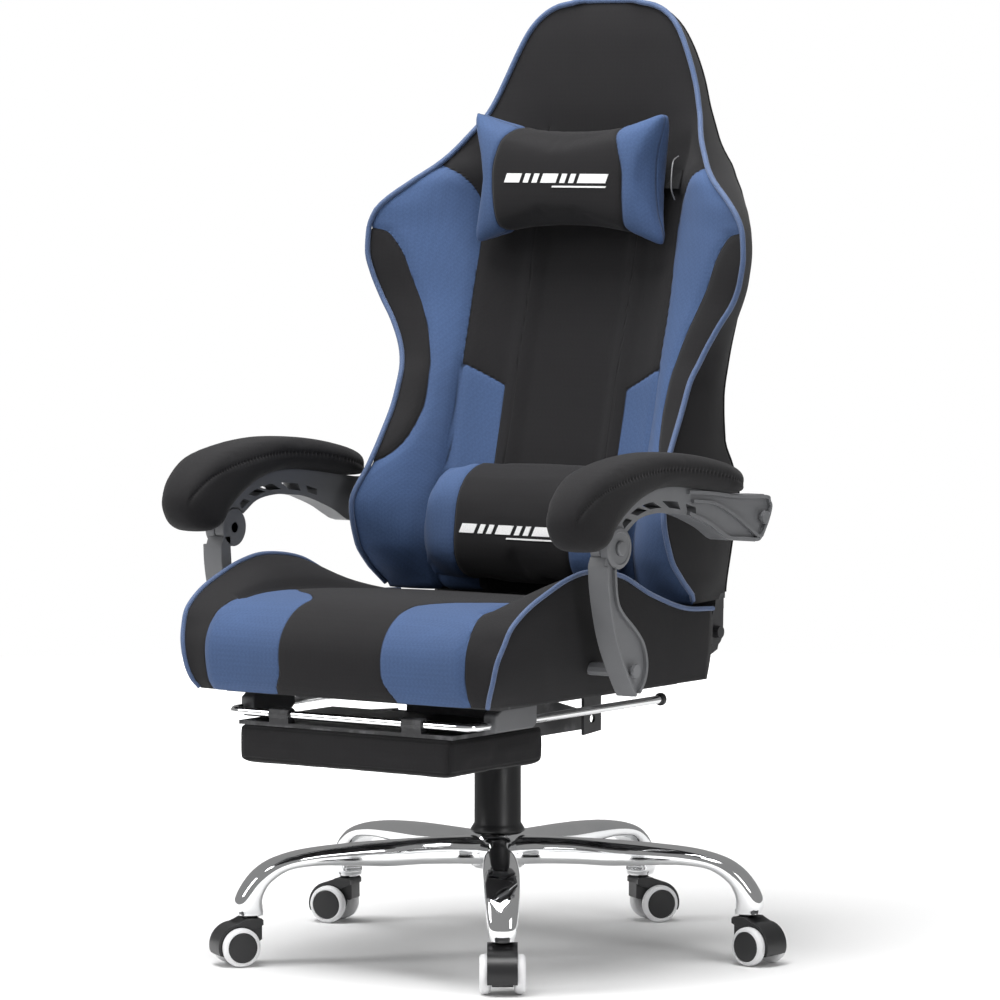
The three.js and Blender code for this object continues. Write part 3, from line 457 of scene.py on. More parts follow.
def painted_steel(name, colour, rough=0.42):
    n = Nodes(name)
    where = n.coordinates()
    orange_peel = n.noise(where, 700.0, 2.0)
    broad = n.noise(where, 25.0, 4.0)
    worn = n.worn_edges(0.54, 0.63, n.ramp(broad, 0.5, 0.7, 0.0, 0.5))
    n.set(n.shader, "Base Color", n.mix(worn, colour, (0.22, 0.22, 0.23, 1)))
    n.set(n.shader, "Roughness", n.ramp(broad, 0.3, 0.7, rough - 0.06, rough + 0.08))
    n.set(n.shader, "Normal", n.bump(orange_peel, 0.12, 0.0003))
    return n.material


CHROME = chrome_material()
STEEL = painted_steel("black_powder_coat", (0.018, 0.018, 0.02, 1))
GREY_STEEL = painted_steel("grey_powder_coat", (0.11, 0.112, 0.118, 1), 0.5)
BLACK_PLASTIC = plastic("black_plastic", (0.014, 0.014, 0.015, 1), 0.38)
GREY_PLASTIC = plastic("grey_plastic", (0.135, 0.138, 0.145, 1), 0.48)
WHITE_PU = plastic("white_tread", (0.80, 0.80, 0.81, 1), 0.42, 900.0, 0.08, 0.0)
PANELS = fabric("panel_fabric", BLACK, BLUE)
BLACK_FABRIC = fabric("black_fabric", BLACK)
PIPING = piping_material()
WHITE_THREAD = thread_material("white_thread", (0.80, 0.80, 0.80, 1))
ELASTIC = fabric("elastic_webbing", (0.028, 0.028, 0.03, 1), None, 0.15, 0.0016, 0.5)

LOOKS = {"chrome": CHROME, "black_steel": STEEL, "black_plastic": BLACK_PLASTIC,
         "grey_plastic": GREY_PLASTIC, "wheel_tread": WHITE_PU, "black_fabric": BLACK_FABRIC,
         "blue_fabric": BLACK_FABRIC, "webbing": ELASTIC}
slot_of = {s["node"]: s["material_slot"] for s in frame["record"].get("subparts", [])}
for node_name, node in frame["nodes"].items():
    look = LOOKS.get(slot_of.get(node_name, ""), STEEL)
    if not node.material_slots:
        node.data.materials.append(None)
    for s in node.material_slots:
        s.material = look

# ------------------------------------------------------------------ star base

LEG_CIRCLE = 335
LEG_TURNS = [math.radians(-90 + 36 + 72 * k) for k in range(5)]
leg_upper = [(16, 168), (100, 167), (155, 165.5), (210, 163), (265, 158), (304, 148), (328, 134),
    (345, 115), (355, 95), (354, 78)]
leg_lower = [(16, 130), (100, 133), (155, 133), (210, 136.5), (249, 138), (287, 134), (312, 119),
    (322, 102), (322, 90), (319, 78)]
leg_half = through([(0, 26), (0.3, 22), (0.6, 15.5), (1.0, 15.0), (2, 21.5), (3, 23.3), (4, 23.5),
    (5, 23), (6, 22), (7, 20.5), (8, 19), (9, 17.5)])


def leg_points():
    stations = 60
    top, low = spline(leg_upper, stations), spline(leg_lower, stations)
    rings = []
    for k in range(stations):
        half = float(leg_half(9 * k / (stations - 1)))
        end = smoothstep(0, 3.2, stations - 1 - k)
        ring = []
        for j in range(32):
            a = 2 * math.pi * j / 32
            c, s = math.cos(a), math.sin(a)
            power = 0.62 if s > 0 else 0.42
            wide = math.copysign(abs(c) ** power, c)
            tall = math.copysign(abs(s) ** (0.80 if s > 0 else 0.5), s)
            shrink = 0.90 + 0.10 * float(end)
            mid = (top[k] + low[k]) / 2
            span = (top[k] - low[k]) / 2
            r, z = mid + span * tall * shrink
            ring.append((r, half * wide * shrink, z))
        rings.append(ring)
    return np.array(rings)


leg = leg_points()
base_points, base_faces = [], []
for turn in LEG_TURNS:
    c, s = math.cos(turn), math.sin(turn)
    start = sum(len(p) for p in base_points)
    flat = leg.reshape(-1, 3)
    base_points.append(np.column_stack([flat[:, 0] * c - flat[:, 1] * s,
                                        flat[:, 0] * s + flat[:, 1] * c, flat[:, 2]]))
    base_faces += grid_faces(leg.shape[0], leg.shape[1], start, closed_v=True)
    base_faces.append(tuple(start + (leg.shape[0] - 1) * 32 + j for j in range(32)))
    base_faces.append(tuple(start + j for j in reversed(range(32))))
star = add_mesh("star_base_legs", np.vstack(base_points), base_faces, [CHROME])
tidy_mesh(star, merge=0.001, sharp=50)
hub = turned("star_base_hub", [(25.8, 126), (31, 125), (35, 128), (36.5, 133), (36.5, 150),
                               (36, 160), (35, 166), (32, 170.5), (29, 171.5), (25.8, 171.5),
                               (25.8, 126)], (0, 0, 0), (0, 0, 1), [CHROME], count=64)
put(star, "base", "chrome", "star_base")
put(hub, "base", "chrome")
for k, turn in enumerate(LEG_TURNS):
    c, s = math.cos(turn), math.sin(turn)
    ring = turned(f"stem_socket_{k + 1}", [(5.8, 75.5), (11.5, 75.5), (13, 76.2), (13.4, 77.6), (12, 78.6),
                                          (5.8, 78.6), (5.8, 75.5)],
                  (LEG_CIRCLE * c, LEG_CIRCLE * s, 0), (0, 0, 1), [CHROME], count=40)
    put(ring, "base", "chrome")

# ------------------------------------------------------------------ casters

WHEEL_RADIUS = 25
TRAIL = 20
CASTERS = [("caster_front_left", -55), ("caster_side_left", -7), ("caster_rear", 56),
    ("caster_side_right", 192), ("caster_front_right", 237)]


def arc(a, b, radius, start, end, steps):
    angles = np.radians(np.linspace(start, end, steps + 1))
    return [(a + radius * math.cos(t), b + radius * math.sin(t)) for t in angles]


def hood_mesh(name, stem, direction):
    """The fork and the fender of a twin-wheel caster, drawn with its trail along +X."""
    core = [(-11, 33), (-11, 58), (-8.5, 60.5), (10, 60.5), (15, 58)]
    core += arc(TRAIL, WHEEL_RADIUS, 29.8, 84, -12, 12) + [(47, 14.5), (36, 11), (28, 14)]
    core += arc(TRAIL, WHEEL_RADIUS, 13, -50, -200, 8) + [(2, 31), (-8, 31)]
    fender = [(-11, 52), (-11, 58), (-8.5, 60.5), (10, 60.5), (15, 58)]
    fender += arc(TRAIL, WHEEL_RADIUS, 29.8, 84, -12, 14) + [(47.2, 14.8), (44.2, 15.5)]
    fender += arc(TRAIL, WHEEL_RADIUS, 26.2, -14, 128, 16)
    points, faces = [], []
    for outline, half in ((core, 13.4), (fender, 19.0)):
        p, f = slab_data(outline, -half, half, len(points))
        points += p
        faces += f
    points = np.array(points, float)
    c, s = math.cos(direction), math.sin(direction)
    along, across, up = points[:, 1], points[:, 0], points[:, 2]
    placed = np.column_stack([stem[0] + along * c - across * s, stem[1] + along * s + across * c, up + FLOOR])
    obj = add_mesh(name, placed, faces, [BLACK_PLASTIC], sharp=30)
    tidy_mesh(obj, merge=0.0001, sharp=30)
    return bevel(obj, 1.6, 3)


WHEEL = [(4, -7.2), (13, -7.2), (20.0, -6.8), (22.6, -6.0), (24.3, -4.2), (25, -2.0), (25, 1.5),
    (24.8, 3.4), (24.0, 5.0), (22.6, 6.3), (21.4, 7.0), (20.6, 7.3), (19.7, 7.2), (19.5, 5.8),
    (4, 5.8), (4, -7.2)]
CAP = [(0.01, 5.0), (19.3, 5.0), (19.3, 6.3), (18.4, 7.1), (17.2, 7.3), (0.01, 7.3)]

for (caster, trail), turn in zip(CASTERS, LEG_TURNS):
    direction = math.radians(trail)
    stem = (LEG_CIRCLE * math.cos(turn), LEG_CIRCLE * math.sin(turn))
    hood = hood_mesh(f"{caster}_fender", stem, direction)
    put(hood, caster, "black_plastic", f"{caster}_hood")
    axle = (stem[0] + TRAIL * math.cos(direction), stem[1] + TRAIL * math.sin(direction), WHEEL_RADIUS)
    for side in ("left", "right"):
        body = f"{caster}_wheel_{side}_roll"
        node = f"{caster}_wheel_{side}"
        low, high = node_box(node)
        middle = (low + high) / 2
        outward = np.array([middle[0] - axle[0], middle[1] - axle[1], 0.0])
        middle = np.array([axle[0], axle[1], 0]) + outward * (21.5 / np.linalg.norm(outward))
        middle[2] = WHEEL_RADIUS + FLOOR
        tyre = turned(f"{caster}_{side}_tyre", WHEEL, middle, outward, [WHITE_PU], count=64, sharp=40)
        cap = turned(f"{caster}_{side}_cap", CAP, middle, outward, [BLACK_PLASTIC], count=64, sharp=40)
        put(tyre, body, "wheel_tread", node)
        put(cap, body, "black_plastic")

# ------------------------------------------------------------------ gas lift covers

for node, body in (("dust_cover_lower", "base"), ("dust_cover_middle", "dust_middle"),
                   ("dust_cover_upper", "column")):
    if node not in frame["nodes"]:
        continue
    low, high = node_box(node)
    radius = (high[0] - low[0]) / 2
    z0, z1 = low[2], high[2]
    if node == "dust_cover_lower":
        barrel = radius - 5
        outline = [(barrel - 1.1, z0), (radius - 0.6, z0), (radius, z0 + 1), (radius, z0 + 2.6),
                   (barrel + 1.6, z0 + 8.5), (barrel, z0 + 11), (barrel, z1 - 1), (barrel - 0.5, z1),
                   (barrel - 1.1, z1), (barrel - 1.1, z0)]
    else:
        inner = 14.4 if node == "dust_cover_upper" else radius - 1.1
        outline = [(radius - 1.1, z0), (radius - 0.4, z0), (radius, z0 + 0.7), (radius, z1 - 1.5),
                   (radius - 0.8, z1), (inner, z1), (inner, z1 - 1.1), (radius - 1.1, z1 - 1.1),
                   (radius - 1.1, z0)]
    cover = turned(f"{node}_shell", outline, (0, 0, 0), (0, 0, 1), [BLACK_PLASTIC], count=72)
    put(cover, body, "black_plastic", node)

# ------------------------------------------------------------------ soft goods by simulation

PUFF_FRAMES = 20
CLOTH_STIFFNESS = 15.0


def puff(obj, pressure, cap, voxel):
    """Remeshes a closed pad, lets it swell as stuffed cloth by at most cap, and keeps that."""
    remesh = obj.modifiers.new("remesh", "REMESH")
    remesh.mode = "VOXEL"
    remesh.voxel_size = voxel * MM
    remesh.use_smooth_shade = True
    bake(obj)
    before = local_mm(obj)
    cloth = obj.modifiers.new("cloth", "CLOTH")
    cloth.settings.use_pressure = True
    cloth.settings.uniform_pressure_force = pressure
    cloth.settings.tension_stiffness = CLOTH_STIFFNESS
    cloth.settings.compression_stiffness = CLOTH_STIFFNESS
    cloth.settings.effector_weights.gravity = 0
    cloth.point_cache.frame_start = 1
    cloth.point_cache.frame_end = PUFF_FRAMES
    for f in range(1, PUFF_FRAMES + 1):
        bpy.context.scene.frame_set(f)
    bake(obj)
    bpy.context.scene.frame_set(1)
    after = local_mm(obj)
    move = after - before
    length = np.linalg.norm(move, axis=1)
    scale = np.where(length > cap, cap / np.maximum(length, 1e-9), 1.0)
    set_mm(obj, before + move * scale[:, None])
    relax = obj.modifiers.new("relax", "SMOOTH")
    relax.factor = 0.5
    relax.iterations = 4
    subdivide = obj.modifiers.new("subdivide", "SUBSURF")
    subdivide.levels = subdivide.render_levels = 1
    bake(obj)
    obj.data.polygons.foreach_set("use_smooth", [True] * len(obj.data.polygons))
    return obj


def bake(obj):
    """Applies an object's modifiers to its mesh."""
    bpy.context.view_layer.update()
    graph = bpy.context.evaluated_depsgraph_get()
    mesh = bpy.data.meshes.new_from_object(obj.evaluated_get(graph), depsgraph=graph)
    old = obj.data
    obj.modifiers.clear()
    obj.data = mesh
    bpy.data.meshes.remove(old)
    return obj


def gradient_free(field, a, b, step=0.5):
    """A field's distance to its zero line, from its value and its slope."""
    value = field(a, b)
    slope = np.hypot((field(a + step, b) - field(a - step, b)) / (2 * step),
                     (field(a, b + step) - field(a, b - step)) / (2 * step))
    return value / np.maximum(slope, 0.15)


def sink(points, normals, distance, depth, width):
    """Draws a surface in along a seam."""
    return points - normals * (depth * np.exp(-(distance / width) ** 2))[:, None]


def normals_of(obj):
    co = np.empty(len(obj.data.vertices) * 3, np.float32)
    obj.data.vertices.foreach_get("normal", co)
    return co.reshape(-1, 3).astype(float)


def box_sheets(place, us, vs, ws):
    """The six sides of a block whose corners place(u, v, w) moves."""
    def side(a, b, pick):
        aa, bb = np.meshgrid(a, b, indexing="ij")
        return place(*pick(aa, bb))
    full = np.full_like
    sheets = []
    for w in (ws[0], ws[-1]):
        sheets.append(side(us, vs, lambda a, b, w=w: (a, b, full(a, w))))
    for v in (vs[0], vs[-1]):
        sheets.append(side(us, ws, lambda a, b, v=v: (a, full(a, v), b)))
    for u in (us[0], us[-1]):
        sheets.append(side(vs, ws, lambda a, b, u=u: (full(a, u), a, b)))
    return sheets


# ------------------------------------------------------------------ seat

CUSHION_HALF = 190
SEAT_BOTTOM = 373
SEAT_REAR = 128
# The middle of the seat from the bottom of its front, over the top, to the back: (y, z).
seat_middle = [(-346, 374), (-356, 388), (-363, 412), (-363, 436), (-355, 456), (-338, 473),
    (-314, 484), (-280, 490), (-235, 492), (-170, 490), (-100, 486), (0, 478), (80, 470),
    (SEAT_REAR, 464)]
# The piped edge of the left bolster along the same way: (x, y, z).
seat_edge = [(222, -340, 374), (229, -347, 386), (236, -350, 404), (242, -349, 430),
    (247, -341, 452), (250, -329, 473), (252, -300, 493), (253, -262, 509), (253, -212, 525),
    (252, -160, 531), (251, -89, 521), (250, -20, 493), (249, 58, 470), (248, SEAT_REAR, 464)]
FRONT_SHARE = 0.34

middle_line = spline([(0, y, z) for y, z in seat_middle], 141)
edge_line = spline(seat_edge, 141)


def on_line(line, s):
    at = np.clip(np.asarray(s, float), 0, 1) * (len(line) - 1)
    i = np.clip(at.astype(int), 0, len(line) - 2)
    f = (at - i)[..., None]
    return line[i] * (1 - f) + line[i + 1] * f


def seat_top(u, s):
    """u runs 0 to 1 from the middle to the piping."""
    side = np.sign(u)
    a = np.abs(u)
    inner = on_line(middle_line, s)
    outer = on_line(edge_line, s)
    share = CUSHION_HALF / 250
    t = np.clip((a - share) / (1 - share), 0, 1)
    x_inner = CUSHION_HALF * np.clip(a / share, 0, 1)
    x = np.where(a < share, x_inner, CUSHION_HALF + t * (outer[..., 0] - CUSHION_HALF))
    rise = 0.72 * (1 - (1 - t) ** 2.1) + 0.28 * t
    y = inner[..., 1] * (1 - rise) + outer[..., 1] * rise
    z = inner[..., 2] * (1 - rise) + outer[..., 2] * rise
    forward = 1 - smoothstep(0.20, 0.45, s)
    puffed = np.where(a < share, 1 - (a / share) ** 6, 0.0)
    y = y - 3 * puffed * forward
    z = z + 2.5 * puffed * (1 - forward)
    return np.stack([side * x, y, z], -1)


def seat_place(u, v, w):
    s_top = FRONT_SHARE + v * (1 - FRONT_SHARE)
    s_front = w * FRONT_SHARE
    sign = np.sign(u)
    corner = 222 + 18 * smoothstep(0.0, 0.25, v)
    bottom = np.stack([u * corner, -346 * (1 - v) + SEAT_REAR * v + 6 * np.abs(u) ** 4 * (1 - v),
                       np.full_like(u, SEAT_BOTTOM)], -1)
    top = seat_top(u, s_top)
    front = seat_top(u, s_front)
    back_z = SEAT_BOTTOM + w * (464 - SEAT_BOTTOM)
    rear_y = np.full_like(u, float(SEAT_REAR))
    back = np.stack([u * (240 + 8 * w), rear_y + 6 * np.sin(math.pi * w), back_z], -1)
    on_front, on_back = v <= 0, v >= 1
    on_bottom, on_topside = w <= 0, w >= 1
    # The side panel hangs between the piping, the front edge and the bottom.
    edge_front = seat_top(sign, s_front)
    edge_up = seat_top(sign, s_top)
    low = np.stack([sign * corner, -340 * (1 - v) + SEAT_REAR * v, np.full_like(u, SEAT_BOTTOM)], -1)
    rear = np.stack([sign * (240 + 8 * w), rear_y, back_z], -1)
    c00 = np.stack([sign * 222.0, -340 + 0 * u, SEAT_BOTTOM + 0 * u], -1)
    c01 = seat_top(sign, np.full_like(u, FRONT_SHARE))
    c10 = np.stack([sign * 240.0, SEAT_REAR + 0 * u, SEAT_BOTTOM + 0 * u], -1)
    c11 = seat_top(sign, np.ones_like(u))
    V, W = v[..., None], w[..., None]
    coons = (edge_front * (1 - V) + rear * V + low * (1 - W) + edge_up * W
             - c00 * (1 - V) * (1 - W) - c10 * V * (1 - W) - c01 * (1 - V) * W - c11 * V * W)
    bulge = 9 * np.sin(math.pi * np.clip(w, 0, 1)) ** 0.8 * np.sin(math.pi * np.clip(v, 0, 1)) ** 0.5
    coons = coons + np.stack([sign * bulge, 0 * u, 0 * u], -1)
    out = np.where((on_topside & ~on_front)[..., None], top, coons)
    out = np.where(on_front[..., None], front, out)
    out = np.where((on_bottom & ~on_front)[..., None], bottom, out)
    out = np.where((on_back & ~on_topside & ~on_bottom)[..., None], back, out)
    return out


seam_share = CUSHION_HALF / 250
seat_us = np.concatenate([-np.linspace(1, seam_share, 13), np.linspace(-seam_share, seam_share, 77)[1:-1],
                          np.linspace(seam_share, 1, 13)])
seat = shell("seat_upholstery", box_sheets(seat_place, seat_us, np.linspace(0, 1, 76),
                                           np.linspace(0, 1, 34)), [PANELS])
points = local_mm(seat)
normals = normals_of(seat)
x, y, z = points.T
blue_inner = through([(-400, 79), (-330, 79), (-300, 80), (-265, 104), (-238, 141), (-208, 170), (-180, 210)])
blue_outer = through([(-400, 204), (-350, 201), (-320, 195), (-300, 191.5), (-250, 191), (-100, 191)])


def seat_field(a, b):
    inner_low = 79 + 14 * smoothstep(408, 372, z)
    return np.minimum(np.abs(a) - np.where(b < -330, inner_low, blue_inner(b)), blue_outer(b) - np.abs(a))


on_top_face = (normals[:, 2] > 0.05) | ((normals[:, 1] < -0.3) & (np.abs(x) < 215))
panel = np.where(on_top_face & (z > 374), gradient_free(seat_field, x, y), -50)
cushion_seam = np.where(on_top_face & (y > -300) & (z > 455), np.abs(np.abs(x) - CUSHION_HALF - 1), 60)
points = sink(points, normals, cushion_seam, 5.0, 7.0)
points = sink(points, normals, np.where(on_top_face, np.abs(panel), 60), 1.0, 4.0)
set_mm(seat, points)
attribute(seat, "panel", panel)
attribute(seat, "seam", np.minimum(np.where(on_top_face, np.abs(panel), 60), cushion_seam))
put(seat, "seat", "black_fabric", "seat_cushion", "seat_bolster_left", "seat_bolster_right")
for side, label in ((1, "left"), (-1, "right")):
    line = spline([(side * (a + 1.5), b - 0.5, c + 1.0) for a, b, c in seat_edge], 120)
    put(tube(f"seat_piping_{label}", line, 3.1, PIPING), "seat", "blue_fabric")

# ------------------------------------------------------------------ backrest

BACK_BOTTOM, BACK_TOP, WING_TOP, CORE_HALF = 472, 1250, 1074, 155
half_width = through([(472, 240), (484, 246), (507, 248), (587, 246), (640, 233), (671, 229),
    (717, 227), (754, 228), (787, 237), (827, 257), (859, 278), (887, 290), (919, 297), (948, 295),
    (970, 286), (990, 267), (1009, 242), (1035, 211), (1069, 185), (1104, 166), (1142, 151),
    (1177, 136), (1206, 121), (1222, 109), (1236, 92), (1244, 74), (1250, 46)])
middle_front = through([(472, 112), (478, 101), (492, 99), (642, 138), (705, 154), (780, 172),
    (844, 190), (936, 211), (1009, 226), (1104, 240), (1200, 249), (1240, 252), (1250, 256)])
middle_rear = through([(472, 200), (490, 209), (540, 222), (608, 240), (705, 263), (800, 285),
    (900, 303), (1009, 309), (1069, 305), (1120, 297), (1206, 282), (1240, 272), (1250, 264)])
edge_front = through([(472, 92), (507, 56), (534, 32), (587, 17), (640, 40), (671, 58), (717, 86),
    (754, 103), (787, 118), (827, 126), (859, 129), (919, 123), (970, 125), (1009, 145),
    (1035, 170), (1069, 201), (1104, 222), (1142, 235), (1206, 246), (1250, 253)])
edge_rear = through([(472, 202), (540, 217), (608, 234), (644, 219), (680, 200), (730, 200),
    (783, 212), (843, 235), (886, 252), (929, 260), (970, 256), (1009, 275), (1035, 295),
    (WING_TOP, 296), (1120, 289), (1206, 278), (1240, 270), (1250, 264)])
rear_half = through([(472, 220), (671, 220), (717, 218), (754, 218), (970, 216), (1000, 200),
    (1030, 172), (1069, 148), (1104, 139), (1142, 133), (1177, 123), (1206, 110), (1222, 99),
    (1236, 83), (1244, 66), (1250, 40)])
dish = through([(472, 12), (560, 30), (1009, 30), (1104, 0), (1250, 0)])


def back_front(x, z):
    a = np.abs(x)
    middle = middle_front(z)
    reach = np.clip((a - CORE_HALF) / np.maximum(half_width(z) - CORE_HALF, 1), 0, 1)
    inner = middle - dish(z) * np.minimum(a / CORE_HALF, 1) ** 3
    wing = inner + (edge_front(z) - inner) * reach
    head = inner + (edge_front(z) - middle) * (a / half_width(z)) ** 4
    high = smoothstep(1040, 1100, z)
    wing = wing * (1 - high) + head * high
    bulge = 10 * np.sin(math.pi * np.clip(reach, 0, 1)) * smoothstep(1085, 1000, z)
    ridge = 7.0 * np.maximum(0, 1 - np.abs(a - 80) / 20) * smoothstep(1090, 1040, z)
    crown = 5 * np.maximum(0, 1 - (a / half_width(z)) ** 4)
    crown = crown * smoothstep(1040, 1120, z) * smoothstep(1250, 1200, z)
    return wing - bulge - ridge - crown


def back_rear(x, z):
    a = np.abs(x)
    middle = middle_rear(z)
    return middle + (edge_rear(z) - middle) * smoothstep(0.55, 1.0, a / rear_half(z))


def back_place(u, v, w):
    z = BACK_BOTTOM + (BACK_TOP - BACK_BOTTOM) * (w + 0.02 * np.sin(2 * math.pi * w))
    wide = half_width(z)
    a = np.abs(u)
    narrow = rear_half(z)
    near, far = back_front(u * wide, z), back_rear(u * narrow, z)
    bulge = np.sin(math.pi * np.clip(v, 0, 1)) * (a >= 1) * smoothstep(0, 0.04, w) * smoothstep(1, 0.97, w)
    across = u * (wide + (narrow - wide) * v) + np.sign(u) * 9 * bulge * smoothstep(1100, 980, z)
    y = near + (far - near) * v + 2 * bulge
    return np.stack([across, y, z], -1)


back = shell("back_upholstery", box_sheets(back_place, np.linspace(-1, 1, 117), np.linspace(0, 1, 20),
                                           np.linspace(0, 1, 170)), [PANELS])
points = local_mm(back)
normals = normals_of(back)
x, y, z = points.T
front_face = (normals[:, 1] < -0.12) & (np.abs(y - back_front(x, z)) < 12) & (np.abs(x) < half_width(z) + 0.5)
wing_inner = through([(472, 155), (770, 155), (859, 156), (937, 154), (983, 158), (1003, 167),
    (1021, 183), (1029, 198), (1036, 216), (1060, 300)])
wedge_inner = through([(600, 300), (640, 234), (652, 214), (665, 203), (683, 195), (720, 188),
    (759, 190), (804, 200), (843, 215), (882, 234), (912, 246), (932, 259), (945, 273), (950, 300)])


def wing_field(a, b):
    return np.minimum(np.abs(a) - wing_inner(b), wedge_inner(b) - np.abs(a))


def inset_field(a, b):
    a = np.abs(a)
    return np.minimum(np.minimum(a - 97, 742 + 0.5 * (a - 97) - b), 156 - a)


wing = gradient_free(wing_field, x, z)
inset = gradient_free(inset_field, x, z)
panel = np.where(front_face, np.maximum(wing, inset), -60)
core_seam = np.where(z < 1000, np.abs(np.abs(x) - CORE_HALF), 60)
strip_seam = np.where(z < 1085, np.abs(np.abs(x) - 80), 60)
seam = np.minimum.reduce([np.abs(wing), np.abs(inset), core_seam, strip_seam])
seam = np.where(front_face, seam, 60)
points = sink(points, normals, np.where(front_face, np.minimum(core_seam, np.abs(wing)), 60), 3.0, 6.0)
points = sink(points, normals, np.where(front_face, np.minimum(np.abs(inset), strip_seam), 60), 1.2, 3.5)
set_mm(back, points)
attribute(back, "panel", panel)
attribute(back, "seam", seam)
put(back, "back", "black_fabric", "back_cushion", "back_wing_left", "back_wing_right", "back_cover")

rows = np.concatenate([np.linspace(478, 1200, 90), np.linspace(1206, 1249.5, 24)])
right_side = [(float(half_width(h)) + 1.0, float(back_front(half_width(h), h)) - 1.5, h) for h in rows]
across = [(a, float(back_front(a, 1250)) - 1.0, 1250.6) for a in np.linspace(42, -42, 12)]
left_side = [(-a, b, c) for a, b, c in reversed(right_side)]
put(tube("back_piping", right_side + across + left_side, 3.6, PIPING), "back", "blue_fabric")
for side, label in ((1, "left"), (-1, "right")):
    rear_line = [(side * (float(rear_half(h)) + 0.3), float(back_rear(rear_half(h), h)) - 0.3, h)
                 for h in np.linspace(480, 1240, 90)]
    put(tube(f"back_rear_seam_{label}", rear_line, 1.6, BLACK_FABRIC), "back", "black_fabric")

# ------------------------------------------------------------------ head pillow and lumbar cushion

PILLOW_SEAM = 167
pillow_low, pillow_high = node_box("head_pillow")
pillow_half = (pillow_high[0] - pillow_low[0]) / 2
pillow_z = (pillow_high[2] + pillow_low[2]) / 2
pillow_tall = (pillow_high[2] - pillow_low[2]) / 2


def pillow_place(u, v, w):
    corner = (np.abs(u) * np.abs(w)) ** 8
    tall = (pillow_tall + 8) - 26 * (1 - np.abs(u) ** 2.2)
    x = u * (pillow_half + 8) * (1 - 0.12 * (1 - w ** 2)) * (1 - 0.05 * corner)
    z = pillow_z + w * tall * (1 - 0.05 * corner)
    back_y = np.minimum(back_front(x, z), np.minimum(back_front(x, z + 30), back_front(x, z - 30))) - 7
    full = np.sqrt(np.maximum(0, 1 - np.abs(w) ** 2.6) * np.maximum(0, 1 - np.abs(u) ** 6))
    near = PILLOW_SEAM - 4 - 29 * full
    far = np.minimum(np.minimum(PILLOW_SEAM + 5 + 44 * full, back_y), PILLOW_SEAM + 60)
    return np.stack([x, near + (far - near) * v, z], -1)


pillow = shell("head_pillow_cover", box_sheets(pillow_place, np.linspace(-1, 1, 90), np.linspace(0, 1, 7),
                                               np.linspace(-1, 1, 54)), [PANELS])
puff(pillow, 3.0, 5.0, 4.5)
points = local_mm(pillow)
normals = normals_of(pillow)
x, y, z = points.T
pillow_seam = through([(920, 97), (975, 102), (1020, 103), (1060, 94), (1090, 79), (1110, 72)])


def pillow_field(a, b):
    return np.abs(a) - pillow_seam(b)


panel = gradient_free(pillow_field, x, z)
rim = np.where(np.hypot(x / pillow_half, (z - pillow_z) / pillow_tall) > 0.85, np.abs(y - PILLOW_SEAM), 60)
points = sink(points, normals, np.abs(panel), 2.2, 4.0)
set_mm(pillow, points)
attribute(pillow, "panel", panel)
attribute(pillow, "seam", np.minimum(np.abs(panel), rim))
put(pillow, "back", "black_fabric", "head_pillow")

lumbar_low, lumbar_high = node_box("lumbar_cushion")
lumbar_half = (lumbar_high[0] - lumbar_low[0]) / 2


def lumbar_place(u, v, w):
    z0, z1 = lumbar_low[2] + 2, lumbar_high[2] - 1
    corner = 1 - 0.08 * np.abs(w) ** 5
    x = u * (lumbar_half - 1) * corner
    z = (z0 + z1) / 2 + w * (z1 - z0) / 2 * (1 - 0.07 * np.abs(u) ** 6)
    back_y = np.minimum(back_front(x, z), middle_front(z)) - 6 - 12 * np.abs(u) ** 3
    front_y = lumbar_low[1] + 5 + 0.12 * (z - z0) + 50 * np.abs(w) ** 4.2 + 24 * np.abs(u) ** 9
    front_y = np.minimum(front_y, back_y - 16)
    return np.stack([x, front_y + (back_y - front_y) * v, z], -1)


lumbar = shell("lumbar_cushion_cover", box_sheets(lumbar_place, np.linspace(-1, 1, 60), np.linspace(0, 1, 16),
                                                  np.linspace(-1, 1, 32)), [PANELS])
puff(lumbar, 3.0, 5.0, 5.0)
points = local_mm(lumbar)
normals = normals_of(lumbar)
x, y, z = points.T
panel = np.abs(x) - 91
points = sink(points, normals, panel, 2.5, 4.5)
set_mm(lumbar, points)
attribute(lumbar, "panel", panel)
attribute(lumbar, "seam", np.abs(panel))
put(lumbar, "back", "black_fabric", "lumbar_cushion")

# A plain embroidered motif on both cushions: leaning bars over a line, with no lettering.
BARS = [(-80, 24), (-50, 8), (-36, 8), (-22, 24), (8, 8), (22, 8), (36, 44)]


def motif(name, cushion, middle_z):
    tree = surface_of(cushion)
    patches = [(a, middle_z - 5, b, 12, 5) for a, b in BARS] + [(-4, middle_z - 11, 84, 2.2, 1)]
    points, faces = [], []
    for x0, z0, wide, tall, lean in patches:
        for lift in (0.9, -0.6):
            for u in np.linspace(0, 1, 13):
                for v in np.linspace(0, 1, 6):
                    at = (x0 + u * wide + v * lean, -300, z0 + v * tall)
                    spot = on_surface(tree, at, (0, 1, 0), lift)
                    points.append(spot if spot is not None else at)
    for k in range(len(patches)):
        a, b = k * 156, k * 156 + 78
        faces += grid_faces(13, 6, a) + [tuple(reversed(f)) for f in grid_faces(13, 6, b)]
        rim = [i * 6 for i in range(13)] + [72 + j for j in range(1, 6)] + \
            [i * 6 + 5 for i in reversed(range(12))] + [j for j in reversed(range(1, 5))]
        faces += [(a + p, b + p, b + q, a + q) for p, q in zip(rim, rim[1:] + rim[:1])]
    obj = add_mesh(name, np.array(points), faces, [WHITE_THREAD])
    put(tidy_mesh(obj, merge=0.001, sharp=40), "back", "webbing")


